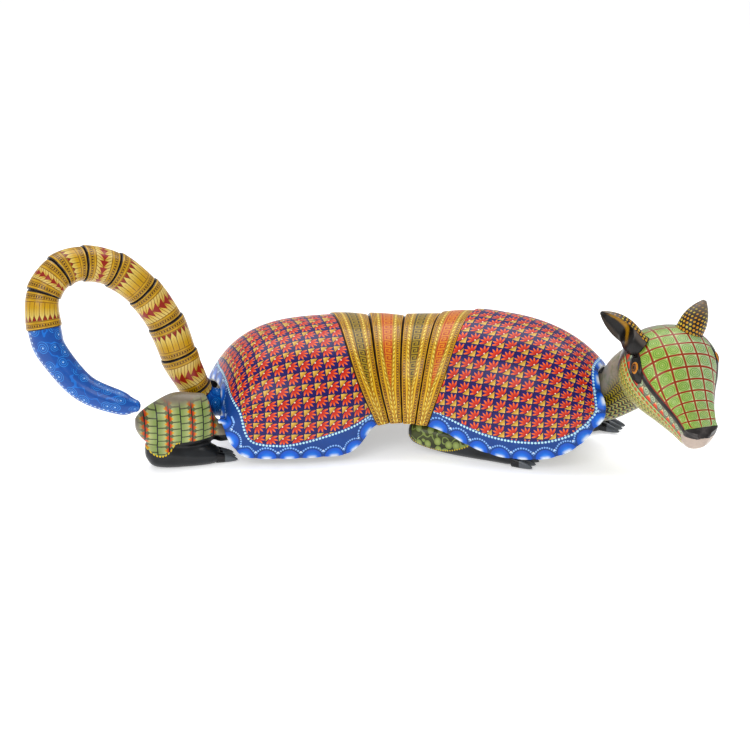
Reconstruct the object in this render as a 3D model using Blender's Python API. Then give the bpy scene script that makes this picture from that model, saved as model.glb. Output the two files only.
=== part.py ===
"""A carved, painted wooden armadillo, built up from the pieces a workshop joins.

Metres, +Z up, soles on z = 0. The animal walks along +X and its right side is -Y. The body bends
in plan, so most places on it are given as (s, side, z): the distance along the centre line from
the waist, the distance to the animal's right of that line, and the height.
"""

import math

import bmesh
import bpy
import numpy as np
from mathutils import Matrix, Vector

# ---- fits between pieces ----
GAP = 0.0003            # glue line between pieces that touch
PLUG_GAP = 0.0004       # slack around a peg that pulls out
PLATE = 0.005           # thickness of the armour plates
PLATE_EDGE = 0.003      # the same at the ends of the shields
BED_GAP = 0.0008        # glue bed under the plates

# ---- centre line of the body, in plan ----
WAIST = (0.0240, 0.0476)
HEADING_REAR = -16.0    # degrees; positive heads towards the animal's right
HEADING_FRONT = 24.0
BEND_REACH = 0.089      # the line bends only this far either side of the waist

# ---- armour: stations along the line, half widths and crown heights ----
EQUATOR = 0.0352        # height of the widest line of the armour
WAIST_HALF = 0.0510
WAIST_CROWN = 0.0620
SKIRT = 0.080           # how fast the wall drops below the widest line
ROUNDNESS = 0.92
BAND_ANGLE = 94.5       # degrees down from the ridge to the bands' lower edge
FAR_FAN = -0.4          # the fan of the bands on the outside of the bend, against the inside
BAND_COUNT = 4
STEP = 0.0014           # how far each plate's rear edge stands over the plate behind

# Each shield: station of its band edge on the ridge, how far that edge leans in lower down, its end,
# where it swells to its full half width and crown, the same at its end and how steeply the crown
# falls, how far its corners (right, left) reach past the end, where the rounding of the corners
# starts (a share of its length), and how far down its rim hangs, reached at rim_from of its length.
REAR = {"edge": 0.053, "fan": 0.0295, "end": 0.148, "swell": 0.0605, "half": 0.066, "crown": 0.063,
        "end_half": 0.046, "end_crown": 0.019, "fall": 3.0, "ears": (0.012, 0.002), "corner": 0.79,
        "rim": 108.8, "rim_from": 0.35}
FRONT = {"edge": 0.056, "fan": 0.0225, "end": 0.162, "swell": 0.074, "half": 0.0565, "crown": 0.0715,
         "end_half": 0.033, "end_crown": 0.041, "fall": 2.2, "ears": (0.021, -0.004), "corner": 0.55,
         "rim": 106.8, "rim_from": 0.55}
CORNER_POWER = 3.2

# ---- body block ----
KEEL_REAR = 0.013       # half width of the keel between the hind legs
KEEL_FRONT = 0.024
KEEL_BOTTOM = 0.019
KEEL_ROUND = 0.005
BLOCK_ANGLE = 62.0      # the block fills the armour this far down from the ridge
BLOCK_SHORT = 0.014     # the block stops this far inside the shields' ends

# ---- tail: offsets from the line at the tail's station, with the radius ----
TAIL_STATION = -0.151
TAIL_COURSE = [
    (0.0240, 0.0050, 0.0375, 0.0110), (0.0040, -0.0010, 0.0380, 0.0110),
    (-0.0095, -0.0065, 0.0435, 0.0115), (-0.0210, -0.0110, 0.0665, 0.0130),
    (-0.0265, -0.0115, 0.0800, 0.0140), (-0.0360, -0.0110, 0.1065, 0.0140),
    (-0.0520, -0.0120, 0.1315, 0.0135), (-0.0740, -0.0170, 0.1510, 0.0135),
    (-0.0965, -0.0270, 0.1585, 0.0130), (-0.1135, -0.0380, 0.1540, 0.0130),
    (-0.1240, -0.0480, 0.1375, 0.0125), (-0.1220, -0.0550, 0.1115, 0.0125),
    (-0.1155, -0.0580, 0.0955, 0.0115), (-0.0940, -0.0640, 0.0720, 0.0105),
    (-0.0660, -0.0690, 0.0615, 0.0090), (-0.0550, -0.0700, 0.0595, 0.0050),
]
TAIL_STUB = 0.041       # length of the stub on the body, along the tail
RING_ENDS = [0.0485, 0.079, 0.107, 0.137, 0.166, 0.191, 0.2115, 0.232, 0.258]
TAIL_PEG_SIDE = 0.008
TAIL_PEG_LENGTH = 0.026
SPIGOT = 0.0055         # radius of the spigot that joins one ring to the next
SPIGOT_LENGTH = 0.005
TAIL_PULL = 0.030

# ---- head: its own axes are x to the snout, y to its left, z up ----
HEAD_AT = (0.0410, -0.0200, 0.0970)     # from the front end of the line
HEAD_TURN = 72.0        # degrees to the animal's right
HEAD_NOD = 25.0
HEAD_TILT = 1.5         # the left side higher
HEAD_STATIONS = [       # x, half width, top, bottom
    (-0.0135, 0.0140, 0.0095, -0.0155), (-0.0055, 0.0245, 0.0190, -0.0235),
    (0.0065, 0.0340, 0.0265, -0.0305), (0.0220, 0.0385, 0.0285, -0.0330),
    (0.0380, 0.0340, 0.0255, -0.0320), (0.0535, 0.0250, 0.0180, -0.0300),
    (0.0685, 0.0180, 0.0095, -0.0270), (0.0820, 0.0140, 0.0020, -0.0235),
    (0.0890, 0.0115, -0.0020, -0.0195), (0.0925, 0.0055, -0.0065, -0.0145),
]
NECK_COURSE = [         # offsets from the front end of the line, half width, half height
    (-0.0240, 0.0100, 0.0510, 0.0165, 0.0190), (-0.0120, 0.0053, 0.0510, 0.0165, 0.0190),
    (0.0030, -0.0013, 0.0510, 0.0158, 0.0185), (0.0130, -0.0058, 0.0565, 0.0160, 0.0187),
    (0.0250, -0.0120, 0.0700, 0.0215, 0.0230), (0.0400, -0.0230, 0.0850, 0.0225, 0.0225),
    (0.0500, -0.0330, 0.0920, 0.0200, 0.0200),
]
NECK_SEAM_AT = (0.0310, -0.0180, 0.0800)
NECK_SEAM_FACING = (0.66, -0.72, 0.10)
NECK_ROOT_Z = 0.051
DOWEL = 0.004

# ---- ears ----
EARS = {                # in the head's axes
    "left": {"root": (0.0140, 0.0107, 0.0115), "points": (-0.40, 0.50, 0.80),
             "opens": (-0.85, 0.5, 0.0)},
    "right": {"root": (0.0165, -0.0245, 0.0195), "points": (-0.60, -0.66, 0.45),
              "opens": (0.35, -1.0, 0.10)},
}
EAR_STATIONS = [        # along the ear, half width, hollow (1 solid, below 0 scooped)
    (0.000, 0.0085, 1.0), (0.005, 0.0093, 1.0), (0.010, 0.0101, 0.75), (0.016, 0.0107, -0.45),
    (0.023, 0.0102, -0.70), (0.030, 0.0080, -0.70), (0.036, 0.0046, -0.6), (0.0400, 0.0014, -0.2),
]
EAR_SEAT = [            # tapered seat cut in the skull: along the ear, radius, full round
    (-0.0003, 0.0090, 1.0), (0.004, 0.0097, 1.0), (0.009, 0.0105, 1.0), (0.016, 0.0113, 1.0),
    (0.040, 0.0113, 1.0),
]
EAR_PEG_SIDE = 0.0050
EAR_PEG_LENGTH = 0.016
EAR_PULL = 0.014

# ---- legs: stations are s, side, z, half width, half height ----
HIND_THIGH = [
    (-0.2200, 0.0285, 0.0365, 0.0030, 0.0040), (-0.2160, 0.0285, 0.0350, 0.0085, 0.0100),
    (-0.2060, 0.0285, 0.0340, 0.0130, 0.0175), (-0.1900, 0.0285, 0.0345, 0.0145, 0.0240),
    (-0.1740, 0.0280, 0.0340, 0.0132, 0.0228), (-0.1640, 0.0258, 0.0330, 0.0102, 0.0205),
    (-0.1590, 0.0240, 0.0280, 0.0085, 0.0120), (-0.1530, 0.0240, 0.0225, 0.0085, 0.0085),
    (-0.1400, 0.0235, 0.0230, 0.0080, 0.0085),
    (-0.1220, 0.0235, 0.0240, 0.0080, 0.0095), (-0.1120, 0.0235, 0.0240, 0.0040, 0.0060),
]
HIND_FOOT = [
    (-0.2130, 0.0285, 0.0140, 0.0040, 0.0050), (-0.2080, 0.0285, 0.0125, 0.0095, 0.0110),
    (-0.1970, 0.0285, 0.0108, 0.0130, 0.0122), (-0.1820, 0.0285, 0.0085, 0.0135, 0.0105),
    (-0.1680, 0.0285, 0.0070, 0.0130, 0.0090), (-0.1590, 0.0285, 0.0060, 0.0110, 0.0070),
    (-0.1550, 0.0285, 0.0055, 0.0060, 0.0045),
]
HIND_HIP = (-0.1240, 0.0265)
HIND_STRIDE = 0.076     # the left hind foot is this far ahead of the right one
FORE_RIGHT = [
    (0.0100, 0.0390, 0.0170, 0.0030, 0.0040), (0.0150, 0.0390, 0.0170, 0.0080, 0.0085),
    (0.0270, 0.0390, 0.0160, 0.0108, 0.0110), (0.0480, 0.0385, 0.0130, 0.0100, 0.0118),
    (0.0700, 0.0375, 0.0108, 0.0098, 0.0112), (0.0900, 0.0370, 0.0085, 0.0104, 0.0090),
    (0.1040, 0.0375, 0.0065, 0.0100, 0.0068), (0.1120, 0.0380, 0.0055, 0.0070, 0.0050),
]
FORE_LEFT = [           # steps out from under the shield
    (0.0700, 0.0330, 0.0190, 0.0030, 0.0040), (0.0750, 0.0330, 0.0190, 0.0070, 0.0090),
    (0.0880, 0.0330, 0.0180, 0.0080, 0.0110), (0.1060, 0.0330, 0.0130, 0.0072, 0.0100),
    (0.1200, 0.0370, 0.0060, 0.0075, 0.0060), (0.1300, 0.0445, 0.0038, 0.0085, 0.0042),
    (0.1380, 0.0540, 0.0045, 0.0090, 0.0050), (0.1450, 0.0620, 0.0070, 0.0090, 0.0078),
    (0.1490, 0.0655, 0.0055, 0.0070, 0.0052),
]
FORE_HIPS = {"right": (0.0880, 0.0240), "left": (0.0960, 0.0240)}
HIP_RADIUS = 0.0080
HIND_HIP_DEPTH = 0.0240
FORE_HIP_DEPTH = 0.0370
LEG_DOWEL = 0.0030
LEG_DOWEL_LENGTH = 0.016
CLAW_SPREAD = 0.0068
CLAW_LENGTH = 0.017

SEGMENTS = 24           # points round a limb, ring or neck


# ---------------------------------------------------------------- small tools

def clear_scene():
    for item in list(bpy.data.objects):
        bpy.data.objects.remove(item, do_unlink=True)


def ease(t):
    t = np.clip(t, 0.0, 1.0)
    return t * t * (3 - 2 * t)


def unit(vector):
    vector = np.asarray(vector, float)
    return vector / np.linalg.norm(vector)


def smooth_course(points, count):
    """Samples a smooth curve through the given rows, evenly by distance."""
    rows = np.asarray(points, float)
    padded = np.vstack([2 * rows[0] - rows[1], rows, 2 * rows[-1] - rows[-2]])
    fine = []
    for k in range(len(rows) - 1):
        a, b, c, d = padded[k:k + 4]
        for t in np.linspace(0, 1, 24, endpoint=False):
            fine.append(0.5 * (2 * b + (c - a) * t + (2 * a - 5 * b + 4 * c - d) * t ** 2
                               + (3 * b - a - 3 * c + d) * t ** 3))
    fine.append(rows[-1])
    fine = np.array(fine)
    steps = np.linalg.norm(np.diff(fine[:, :3], axis=0), axis=1)
    length = np.concatenate([[0], np.cumsum(steps)])
    return sample_at(fine, length, np.linspace(0, length[-1], count))


def sample_at(rows, length, where):
    return np.stack([np.interp(where, length, rows[:, k]) for k in range(rows.shape[1])], axis=-1)


def paint(name, colour, roughness):
    material = bpy.data.materials.new(name)
    material.use_nodes = True
    shader = material.node_tree.nodes["Principled BSDF"]
    shader.inputs["Base Color"].default_value = (*colour, 1.0)
    shader.inputs["Roughness"].default_value = roughness
    shader.inputs["Metallic"].default_value = 0.0
    material.diffuse_color = (*colour, 1.0)
    return material


def add_object(name, bm, material):
    bmesh.ops.recalc_face_normals(bm, faces=bm.faces)
    mesh = bpy.data.meshes.new(name)
    bm.to_mesh(mesh)
    bm.free()
    mesh.materials.append(material)
    item = bpy.data.objects.new(name, mesh)
    bpy.context.collection.objects.link(item)
    return item


def loft_into(bm, rings):
    """Joins closed rings of points in order and closes both ends."""
    loops = [[bm.verts.new(point) for point in ring] for ring in rings]
    count = len(loops[0])
    for lower, upper in zip(loops, loops[1:]):
        for k in range(count):
            bm.faces.new((lower[k], lower[(k + 1) % count], upper[(k + 1) % count], upper[k]))
    bm.faces.new(loops[0])
    bm.faces.new(list(reversed(loops[-1])))


def loft(name, rings, material):
    bm = bmesh.new()
    loft_into(bm, rings)
    return add_object(name, bm, material)


def cut(item, cutter, name):
    change = item.modifiers.new(name, "BOOLEAN")
    change.operation = "DIFFERENCE"
    change.solver = "EXACT"
    change.object = cutter


def join_on(item, other, name):
    change = item.modifiers.new(name, "BOOLEAN")
    change.operation = "UNION"
    change.solver = "EXACT"
    change.object = other


def as_tool(item):
    item.hide_render = True
    item.display_type = "WIRE"
    return item


def along(direction):
    """Rotation that turns +Z onto a direction."""
    return Vector(direction).to_track_quat("Z", "Y").to_matrix().to_4x4()


def add_rod(bm, centre, direction, radius, length, sides):
    """A rod about a point; four sides make a square bar of half width radius."""
    corner = radius / math.cos(math.pi / sides) if sides == 4 else radius
    place = Matrix.Translation(Vector(centre)) @ along(direction)
    bmesh.ops.create_cone(bm, cap_ends=True, segments=sides, radius1=corner, radius2=corner,
                          depth=length, matrix=place)


def rod(name, centre, direction, radius, length, sides, material):
    bm = bmesh.new()
    add_rod(bm, centre, direction, radius, length, sides)
    return add_object(name, bm, material)


# ---------------------------------------------------------------- body shape

def heading(s):
    turn = ease((s + BEND_REACH) / (2 * BEND_REACH))
    return np.radians(HEADING_REAR + (HEADING_FRONT - HEADING_REAR) * turn)


def trace_centre_line():
    stations = np.linspace(-0.25, 0.25, 501)
    angle = heading(stations)
    step = stations[1] - stations[0]
    line = []
    for slope in (np.cos(angle), -np.sin(angle)):
        run = np.concatenate([[0], np.cumsum((slope[1:] + slope[:-1]) / 2 * step)])
        line.append(run - np.interp(0.0, stations, run))
    return stations, line[0] + WAIST[0], line[1] + WAIST[1]


STATIONS, LINE_X, LINE_Y = trace_centre_line()


def body_point(s, side, z):
    s, side, z = np.broadcast_arrays(np.asarray(s, float), side, z)
    angle = heading(s)
    x = np.interp(s, STATIONS, LINE_X) - np.sin(angle) * side
    y = np.interp(s, STATIONS, LINE_Y) - np.cos(angle) * side
    return np.stack([x, y, z], axis=-1)


def to_right(s):
    """Unit vector to the animal's right at a station."""
    angle = float(heading(s))
    return np.array([-math.sin(angle), -math.cos(angle), 0.0])


def armour_size(s):
    """Half width and crown height of the armour at each station."""
    s = np.asarray(s, float)
    half = np.zeros(s.shape)
    crown = np.zeros(s.shape)
    for end, here in ((REAR, s < 0), (FRONT, s >= 0)):
        far = np.abs(s)
        rise = ease(far / end["swell"])
        t = np.clip((far - end["swell"]) / (end["end"] - end["swell"]), 0, 1.08)
        a = WAIST_HALF + (end["half"] - WAIST_HALF) * rise - (end["half"] - end["end_half"]) * t ** 2.4
        h = WAIST_CROWN + (end["crown"] - WAIST_CROWN) * rise
        fall = (end["crown"] ** 2 - end["end_crown"] ** 2) * t ** end["fall"]
        h = np.sqrt(np.maximum(h ** 2 - fall, 1e-6))
        half = np.where(here, a, half)
        crown = np.where(here, h, crown)
    return half, crown


def armour_point(s, angle, lift):
    """A point of the armour; angle in degrees from the ridge, positive on the right."""
    half, crown = armour_size(s)
    turn = np.radians(angle)
    across = np.sign(np.sin(turn)) * np.abs(np.sin(turn)) ** ROUNDNESS
    up = np.sign(np.cos(turn)) * np.abs(np.cos(turn)) ** ROUNDNESS
    z = EQUATOR + np.where(up > 0, crown + lift, SKIRT) * up
    return body_point(s, (half + lift) * across, z)


def fan(angle):
    """How far the band edges lean at an angle: 0 on the ridge, 1 at the bands' lower edge."""
    up = np.cos(np.radians(angle))
    lowest = WAIST_CROWN - SKIRT * math.cos(math.radians(BAND_ANGLE))
    drop = np.where(up > 0, WAIST_CROWN * (1 - up), WAIST_CROWN - SKIRT * up) / lowest
    return np.minimum(drop, 1.15) ** 2 * np.where(np.asarray(angle) > 0, 1.0, FAR_FAN)


def band_edge(k, angle):
    """Station of the k-th band edge, 0 at the rear shield and BAND_COUNT at the front one."""
    rear = -REAR["edge"] + REAR["fan"] * fan(angle)
    front = FRONT["edge"] - FRONT["fan"] * fan(angle)
    return rear + (front - rear) * k / BAND_COUNT


def shield_grid(end, forward, straight, rounded, columns):
    """Stations and angles of a shield: straight rows from the bands, then its rounded corners."""
    rows = np.concatenate([np.linspace(0, end["corner"], straight, endpoint=False),
                           np.linspace(end["corner"], 1, rounded)])
    p, q = np.meshgrid(rows, np.linspace(-1, 1, columns), indexing="ij")
    turn = np.clip((p - end["corner"]) / (1 - end["corner"]), 0, 1) * math.pi / 2
    reach = end["corner"] + (1 - end["corner"]) * np.sin(turn) ** (2 / CORNER_POWER)
    reach = np.where(p < end["corner"], p, reach)
    spread = np.cos(turn * 0.98) ** (2 / CORNER_POWER)
    drop = BAND_ANGLE + (end["rim"] - BAND_ANGLE) * ease(reach / end["rim_from"])
    angle = q * drop * spread
    inner = band_edge(BAND_COUNT if forward else 0, angle)
    inner = inner + (GAP if forward else -GAP)
    ears = np.where(angle > 0, *end["ears"])
    outer = end["end"] + ears * np.sin(np.radians(angle)) ** 2
    outer = outer if forward else -outer
    return inner + (outer - inner) * reach, angle, reach


# ---------------------------------------------------------------- armour plates

def plate(name, outer, inner, material):
    """A curved plate between two matching grids of points."""
    bm = bmesh.new()
    rows, columns = outer.shape[:2]
    top = [[bm.verts.new(p) for p in row] for row in outer]
    bottom = [[bm.verts.new(p) for p in row] for row in inner]
    for i in range(rows - 1):
        for j in range(columns - 1):
            bm.faces.new((top[i][j], top[i + 1][j], top[i + 1][j + 1], top[i][j + 1]))
            bm.faces.new((bottom[i][j], bottom[i][j + 1], bottom[i + 1][j + 1], bottom[i + 1][j]))
    edge = [(i, 0) for i in range(rows)] + [(rows - 1, j) for j in range(1, columns)]
    edge += [(i, columns - 1) for i in range(rows - 2, -1, -1)]
    edge += [(0, j) for j in range(columns - 2, 0, -1)]
    for (a, b), (c, d) in zip(edge, edge[1:] + edge[:1]):
        bm.faces.new((top[a][b], bottom[a][b], bottom[c][d], top[c][d]))
    return add_object(name, bm, material)


def make_shields():
    colours = paint("checker_red", (0.50, 0.07, 0.05), 0.35)
    for name, end, forward, step in (("rear_shield", REAR, False, 0.0),
                                     ("front_shield", FRONT, True, STEP)):
        s, angle, reach = shield_grid(end, forward, 8, 9, 27)
        lip = step * np.clip(1 - reach / 0.2, 0, 1)
        depth = PLATE - (PLATE - PLATE_EDGE) * ease((reach - 0.7) / 0.3)
        plate(name, armour_point(s, angle, lip), armour_point(s, angle, -depth), colours)


def make_bands():
    ochre = paint("band_ochre", (0.58, 0.32, 0.04), 0.4)
    for k in range(BAND_COUNT):
        p, q = np.meshgrid(np.linspace(0, 1, 4), np.linspace(-1, 1, 27), indexing="ij")
        angle = q * BAND_ANGLE
        low = band_edge(k, angle) + GAP
        high = band_edge(k + 1, angle) - GAP
        s = low + (high - low) * p
        plate(f"band_{k + 1}", armour_point(s, angle, STEP * (1 - p)),
              armour_point(s, angle, -PLATE), ochre)


# ---------------------------------------------------------------- body block

def keel_half(s):
    return KEEL_REAR + (KEEL_FRONT - KEEL_REAR) * float(ease((s + 0.02) / 0.08))


def block_ring(s):
    """Section of the body block: an arch under the armour on a narrower keel."""
    angle = np.linspace(BLOCK_ANGLE, -BLOCK_ANGLE, 21)
    lift = -PLATE - BED_GAP
    arch = armour_point(np.full(angle.shape, s), angle, lift)
    keel = keel_half(s)
    shelf = arch[0][2] - 0.001
    outline = [(-keel, shelf), (-keel, KEEL_BOTTOM + KEEL_ROUND), (-keel + KEEL_ROUND, KEEL_BOTTOM),
               (keel - KEEL_ROUND, KEEL_BOTTOM), (keel, KEEL_BOTTOM + KEEL_ROUND), (keel, shelf)]
    foot = [body_point(s, side, z) for side, z in outline]
    return np.vstack([arch, foot])


def make_block(tools):
    wood = paint("body_wood", (0.30, 0.24, 0.14), 0.5)
    stations = np.linspace(-REAR["end"] + BLOCK_SHORT, FRONT["end"] - BLOCK_SHORT, 21)
    block = loft("body_core", [block_ring(s) for s in stations], wood)
    for tool in tools:
        cut(block, tool, tool.name)


# ---------------------------------------------------------------- tail

def front_end():
    return body_point(FRONT["end"], 0.0, 0.0)


class Course:
    """A smooth course through space that carries round sections."""

    def __init__(self, points, origin):
        rows = np.array(points, float)
        rows[:, :3] += origin
        self.rows = smooth_course(rows, 400)
        steps = np.linalg.norm(np.diff(self.rows[:, :3], axis=0), axis=1)
        self.length = np.concatenate([[0], np.cumsum(steps)])
        self.sides = self.carry_side()

    def carry_side(self):
        """A side vector carried along the course without twist."""
        tangents = np.gradient(self.rows[:, :3], axis=0)
        tangents /= np.linalg.norm(tangents, axis=1)[:, None]
        self.tangents = tangents
        side = np.cross(tangents[0], (0, 0, 1.0))
        sides = []
        for tangent in tangents:
            side = unit(side - tangent * np.dot(side, tangent))
            sides.append(side)
        return np.array(sides)

    def frame(self, where):
        centre = sample_at(self.rows, self.length, where)
        tangent = unit(sample_at(self.tangents, self.length, where))
        side = unit(sample_at(self.sides, self.length, where))
        return centre, tangent, side, np.cross(side, tangent)

    def ring(self, where, wide, high, count=SEGMENTS):
        centre, _, side, up = self.frame(where)
        turn = np.linspace(0, 2 * math.pi, count, endpoint=False)[:, None]
        return centre[:3] + side * np.cos(turn) * wide + up * np.sin(turn) * high


def tail_radius(course, where):
    return float(course.frame(where)[0][3])


def tail_ring(course, k, start, end, material):
    """One ring: a spigot at the root end, a flared wall, and a socket in the far end.

    The square peg passes through the first ring into the second, in place of their spigot.
    """
    rings = []
    if k > 1:
        rings += [course.ring(start - SPIGOT_LENGTH, SPIGOT, SPIGOT), course.ring(start, SPIGOT, SPIGOT)]
    for t in np.linspace(0, 1, 5):
        where = start + (end - GAP - start) * t
        size = tail_radius(course, where) + STEP * 0.8 * t ** 1.5
        rings.append(course.ring(where, size, size))
    if k > 0:
        socket = SPIGOT + GAP
        rings += [course.ring(end - GAP, socket, socket),
                  course.ring(end - SPIGOT_LENGTH - 2 * GAP, socket, socket)]
    return loft(f"tail_ring_{k + 1}", rings, material)


def block_end(end, forward):
    """Middle and outward direction of a flat end of the body block."""
    s = (end["end"] - BLOCK_SHORT) * (1 if forward else -1)
    angle = float(heading(s))
    ahead = np.array([math.cos(angle), -math.sin(angle), 0.0])
    return body_point(s, 0.0, 0.0), ahead if forward else -ahead


def tail_peg_place(course):
    """The middle of the square peg and the direction in which the tail pulls off."""
    centre, tangent, _, _ = course.frame(TAIL_STUB)
    return centre[:3], tangent


def make_tail(course):
    gold = paint("tail_gold", (0.58, 0.36, 0.08), 0.4)
    blue = paint("tail_blue", (0.02, 0.10, 0.42), 0.35)
    middle, pull = tail_peg_place(course)
    hole = as_tool(rod("cut_tail_peg", middle, pull, TAIL_PEG_SIDE / 2 + PLUG_GAP,
                       TAIL_PEG_LENGTH + 4 * GAP, 4, gold))
    stub_rings = [course.ring(w, tail_radius(course, w), tail_radius(course, w))
                  for w in np.linspace(0, TAIL_STUB, 10)]
    bm = bmesh.new()
    loft_into(bm, stub_rings)
    point, outward = block_end(REAR, False)
    split(bm, point + outward * GAP, outward)
    cut(add_object("tail_stub", bm, blue), hole, "peg_hole")
    start = TAIL_STUB + GAP
    for k, end in enumerate(RING_ENDS):
        ring = tail_ring(course, k, start, end, gold)
        if k < 2:
            cut(ring, hole, "peg_hole")
        start = end
    rings = [course.ring(start - SPIGOT_LENGTH, SPIGOT, SPIGOT), course.ring(start, SPIGOT, SPIGOT)]
    for where in np.linspace(start, course.length[-1], 13):
        rings.append(course.ring(where, tail_radius(course, where), tail_radius(course, where)))
    tip = course.length[-1]
    centre, tangent, side, up = course.frame(tip)
    for inset, shrink in ((0.0025, 0.8), (0.0040, 0.45)):
        rings.append(course.ring(tip, centre[3] * shrink, centre[3] * shrink) + tangent * inset)
    loft("tail_tip", rings, blue)
    rod("tail_peg", middle, pull, TAIL_PEG_SIDE / 2, TAIL_PEG_LENGTH, 4,
        paint("peg_wood", (0.55, 0.38, 0.20), 0.6))


# ---------------------------------------------------------------- neck and head

def head_matrix():
    """Places the head's own axes in the world."""
    turn = Matrix.Rotation(math.radians(-HEAD_TURN), 4, "Z")
    nod = Matrix.Rotation(math.radians(HEAD_NOD), 4, "Y")
    tilt = Matrix.Rotation(math.radians(HEAD_TILT), 4, "X")
    return Matrix.Translation(Vector(front_end() + HEAD_AT)) @ turn @ nod @ tilt


def split(item_bm, point, facing):
    """Keeps what lies on the facing side of a plane, and closes the cut."""
    geometry = item_bm.verts[:] + item_bm.edges[:] + item_bm.faces[:]
    done = bmesh.ops.bisect_plane(item_bm, geom=geometry, plane_co=Vector(point),
                                  plane_no=Vector(facing), clear_inner=True)
    edges = [g for g in done["geom_cut"] if isinstance(g, bmesh.types.BMEdge)]
    bmesh.ops.holes_fill(item_bm, edges=edges, sides=0)


def head_ring(row):
    x, half, top, bottom = row
    turn = np.linspace(0, 2 * math.pi, SEGMENTS, endpoint=False)
    y = half * np.sign(np.cos(turn)) * np.abs(np.cos(turn)) ** 0.85
    z = np.where(np.sin(turn) > 0, top, -bottom) * np.abs(np.sin(turn)) ** 0.9 * np.sign(np.sin(turn))
    return np.stack([np.full(turn.shape, x), y, z], axis=-1)


def ear_axes(label):
    """Root, long axis and opening direction of an ear, in the head's axes."""
    root, point, opens = (Vector(EARS[label][key]) for key in ("root", "points", "opens"))
    point.normalize()
    return root, point, (opens - point * opens.dot(point)).normalized()


def ear_ring(label, row):
    distance, half, hollow = row
    root, point, opens = ear_axes(label)
    across = point.cross(opens)
    ring = []
    for k in range(SEGMENTS):
        turn = math.pi / 2 + 2 * math.pi * k / SEGMENTS
        depth = math.cos(turn) * (1.0 if math.cos(turn) < 0 else hollow)
        ring.append(root + point * distance + (across * math.sin(turn) + opens * depth) * half)
    return ring


def make_ears(place):
    shell = paint("ear_black", (0.03, 0.028, 0.02), 0.3)
    pegs = paint("ear_peg_wood", (0.55, 0.38, 0.20), 0.6)
    tools = []
    for label in EARS:
        root, point, _ = ear_axes(label)
        ear = loft(f"ear_{label}", [ear_ring(label, row) for row in smooth_course_1d(EAR_STATIONS, 12)],
                   shell)
        seat = loft(f"cut_ear_seat_{label}", [ear_ring(label, row) for row in EAR_SEAT], shell)
        hole = rod(f"cut_ear_peg_{label}", root, point, EAR_PEG_SIDE / 2 + PLUG_GAP,
                   EAR_PEG_LENGTH + 4 * GAP, 4, shell)
        peg = rod(f"ear_peg_{label}", root, point, EAR_PEG_SIDE / 2, EAR_PEG_LENGTH, 4, pegs)
        cut(ear, hole, "peg_hole")
        for item in (ear, peg, seat, hole):
            item.matrix_world = place
        tools += [as_tool(seat), as_tool(hole)]
    return tools


def smooth_course_1d(points, count):
    """Smooth rows of a profile whose first value is the distance along its axis."""
    rows = np.asarray(points, float)
    where = np.linspace(rows[0, 0], rows[-1, 0], count)
    slopes = np.gradient(rows, rows[:, 0], axis=0)
    result = []
    for x in where:
        k = min(int(np.searchsorted(rows[:, 0], x, side="right")) - 1, len(rows) - 2)
        width = rows[k + 1, 0] - rows[k, 0]
        t = (x - rows[k, 0]) / width
        start, leave = 2 * t ** 3 - 3 * t ** 2 + 1, (t ** 3 - 2 * t ** 2 + t) * width
        end, arrive = 3 * t ** 2 - 2 * t ** 3, (t ** 3 - t ** 2) * width
        result.append(start * rows[k] + leave * slopes[k] + end * rows[k + 1] + arrive * slopes[k + 1])
    return np.array(result)


def make_head(place, seam_at, seam_facing, tools):
    skin = paint("head_green", (0.28, 0.42, 0.16), 0.4)
    bm = bmesh.new()
    loft_into(bm, [head_ring(row) for row in smooth_course_1d(HEAD_STATIONS, 20)])
    bmesh.ops.transform(bm, matrix=place, verts=bm.verts)
    split(bm, seam_at + seam_facing * GAP, seam_facing)
    bmesh.ops.transform(bm, matrix=place.inverted(), verts=bm.verts)
    head = add_object("head", bm, skin)
    head.matrix_world = place
    for tool in tools:
        cut(head, tool, tool.name)


def make_neck(seam_at, seam_facing, tools):
    skin = paint("neck_green", (0.20, 0.26, 0.10), 0.4)
    course = Course(NECK_COURSE, front_end())
    rings = []
    for where in np.linspace(0, course.length[-1], 12):
        centre = course.frame(where)[0]
        rings.append(course.ring(where, centre[3], centre[4]))
    bm = bmesh.new()
    loft_into(bm, rings)
    split(bm, seam_at, -seam_facing)
    point, outward = block_end(FRONT, True)
    split(bm, point + outward * GAP, outward)
    neck = add_object("neck", bm, skin)
    for tool in tools:
        cut(neck, tool, tool.name)
    return course


def make_dowel(name, centre, direction, radius, length):
    """A glued dowel, with the tool that bores its holes."""
    wood = bpy.data.materials.get("dowel_wood") or paint("dowel_wood", (0.60, 0.45, 0.26), 0.6)
    rod(name, centre, direction, radius, length, 16, wood)
    return as_tool(rod(f"cut_{name}", centre, direction, radius + GAP, length + 4 * GAP, 16, wood))


# ---------------------------------------------------------------- legs

def limb_rings(stations, side, shift):
    """Rings along a limb whose stations run along the centre line."""
    rings = []
    for s, out, z, half, high in smooth_course(stations, 14):
        turn = np.linspace(0, 2 * math.pi, SEGMENTS, endpoint=False)
        rings.append(body_point(s + shift, side * (out + half * np.cos(turn)), z + high * np.sin(turn)))
    return rings


def limb(name, stations, side, shift, material):
    """A limb with its underside cut flat where it meets the ground."""
    bm = bmesh.new()
    loft_into(bm, limb_rings(stations, side, shift))
    split(bm, (0, 0, 0), (0, 0, 1))
    return add_object(name, bm, material)


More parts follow.
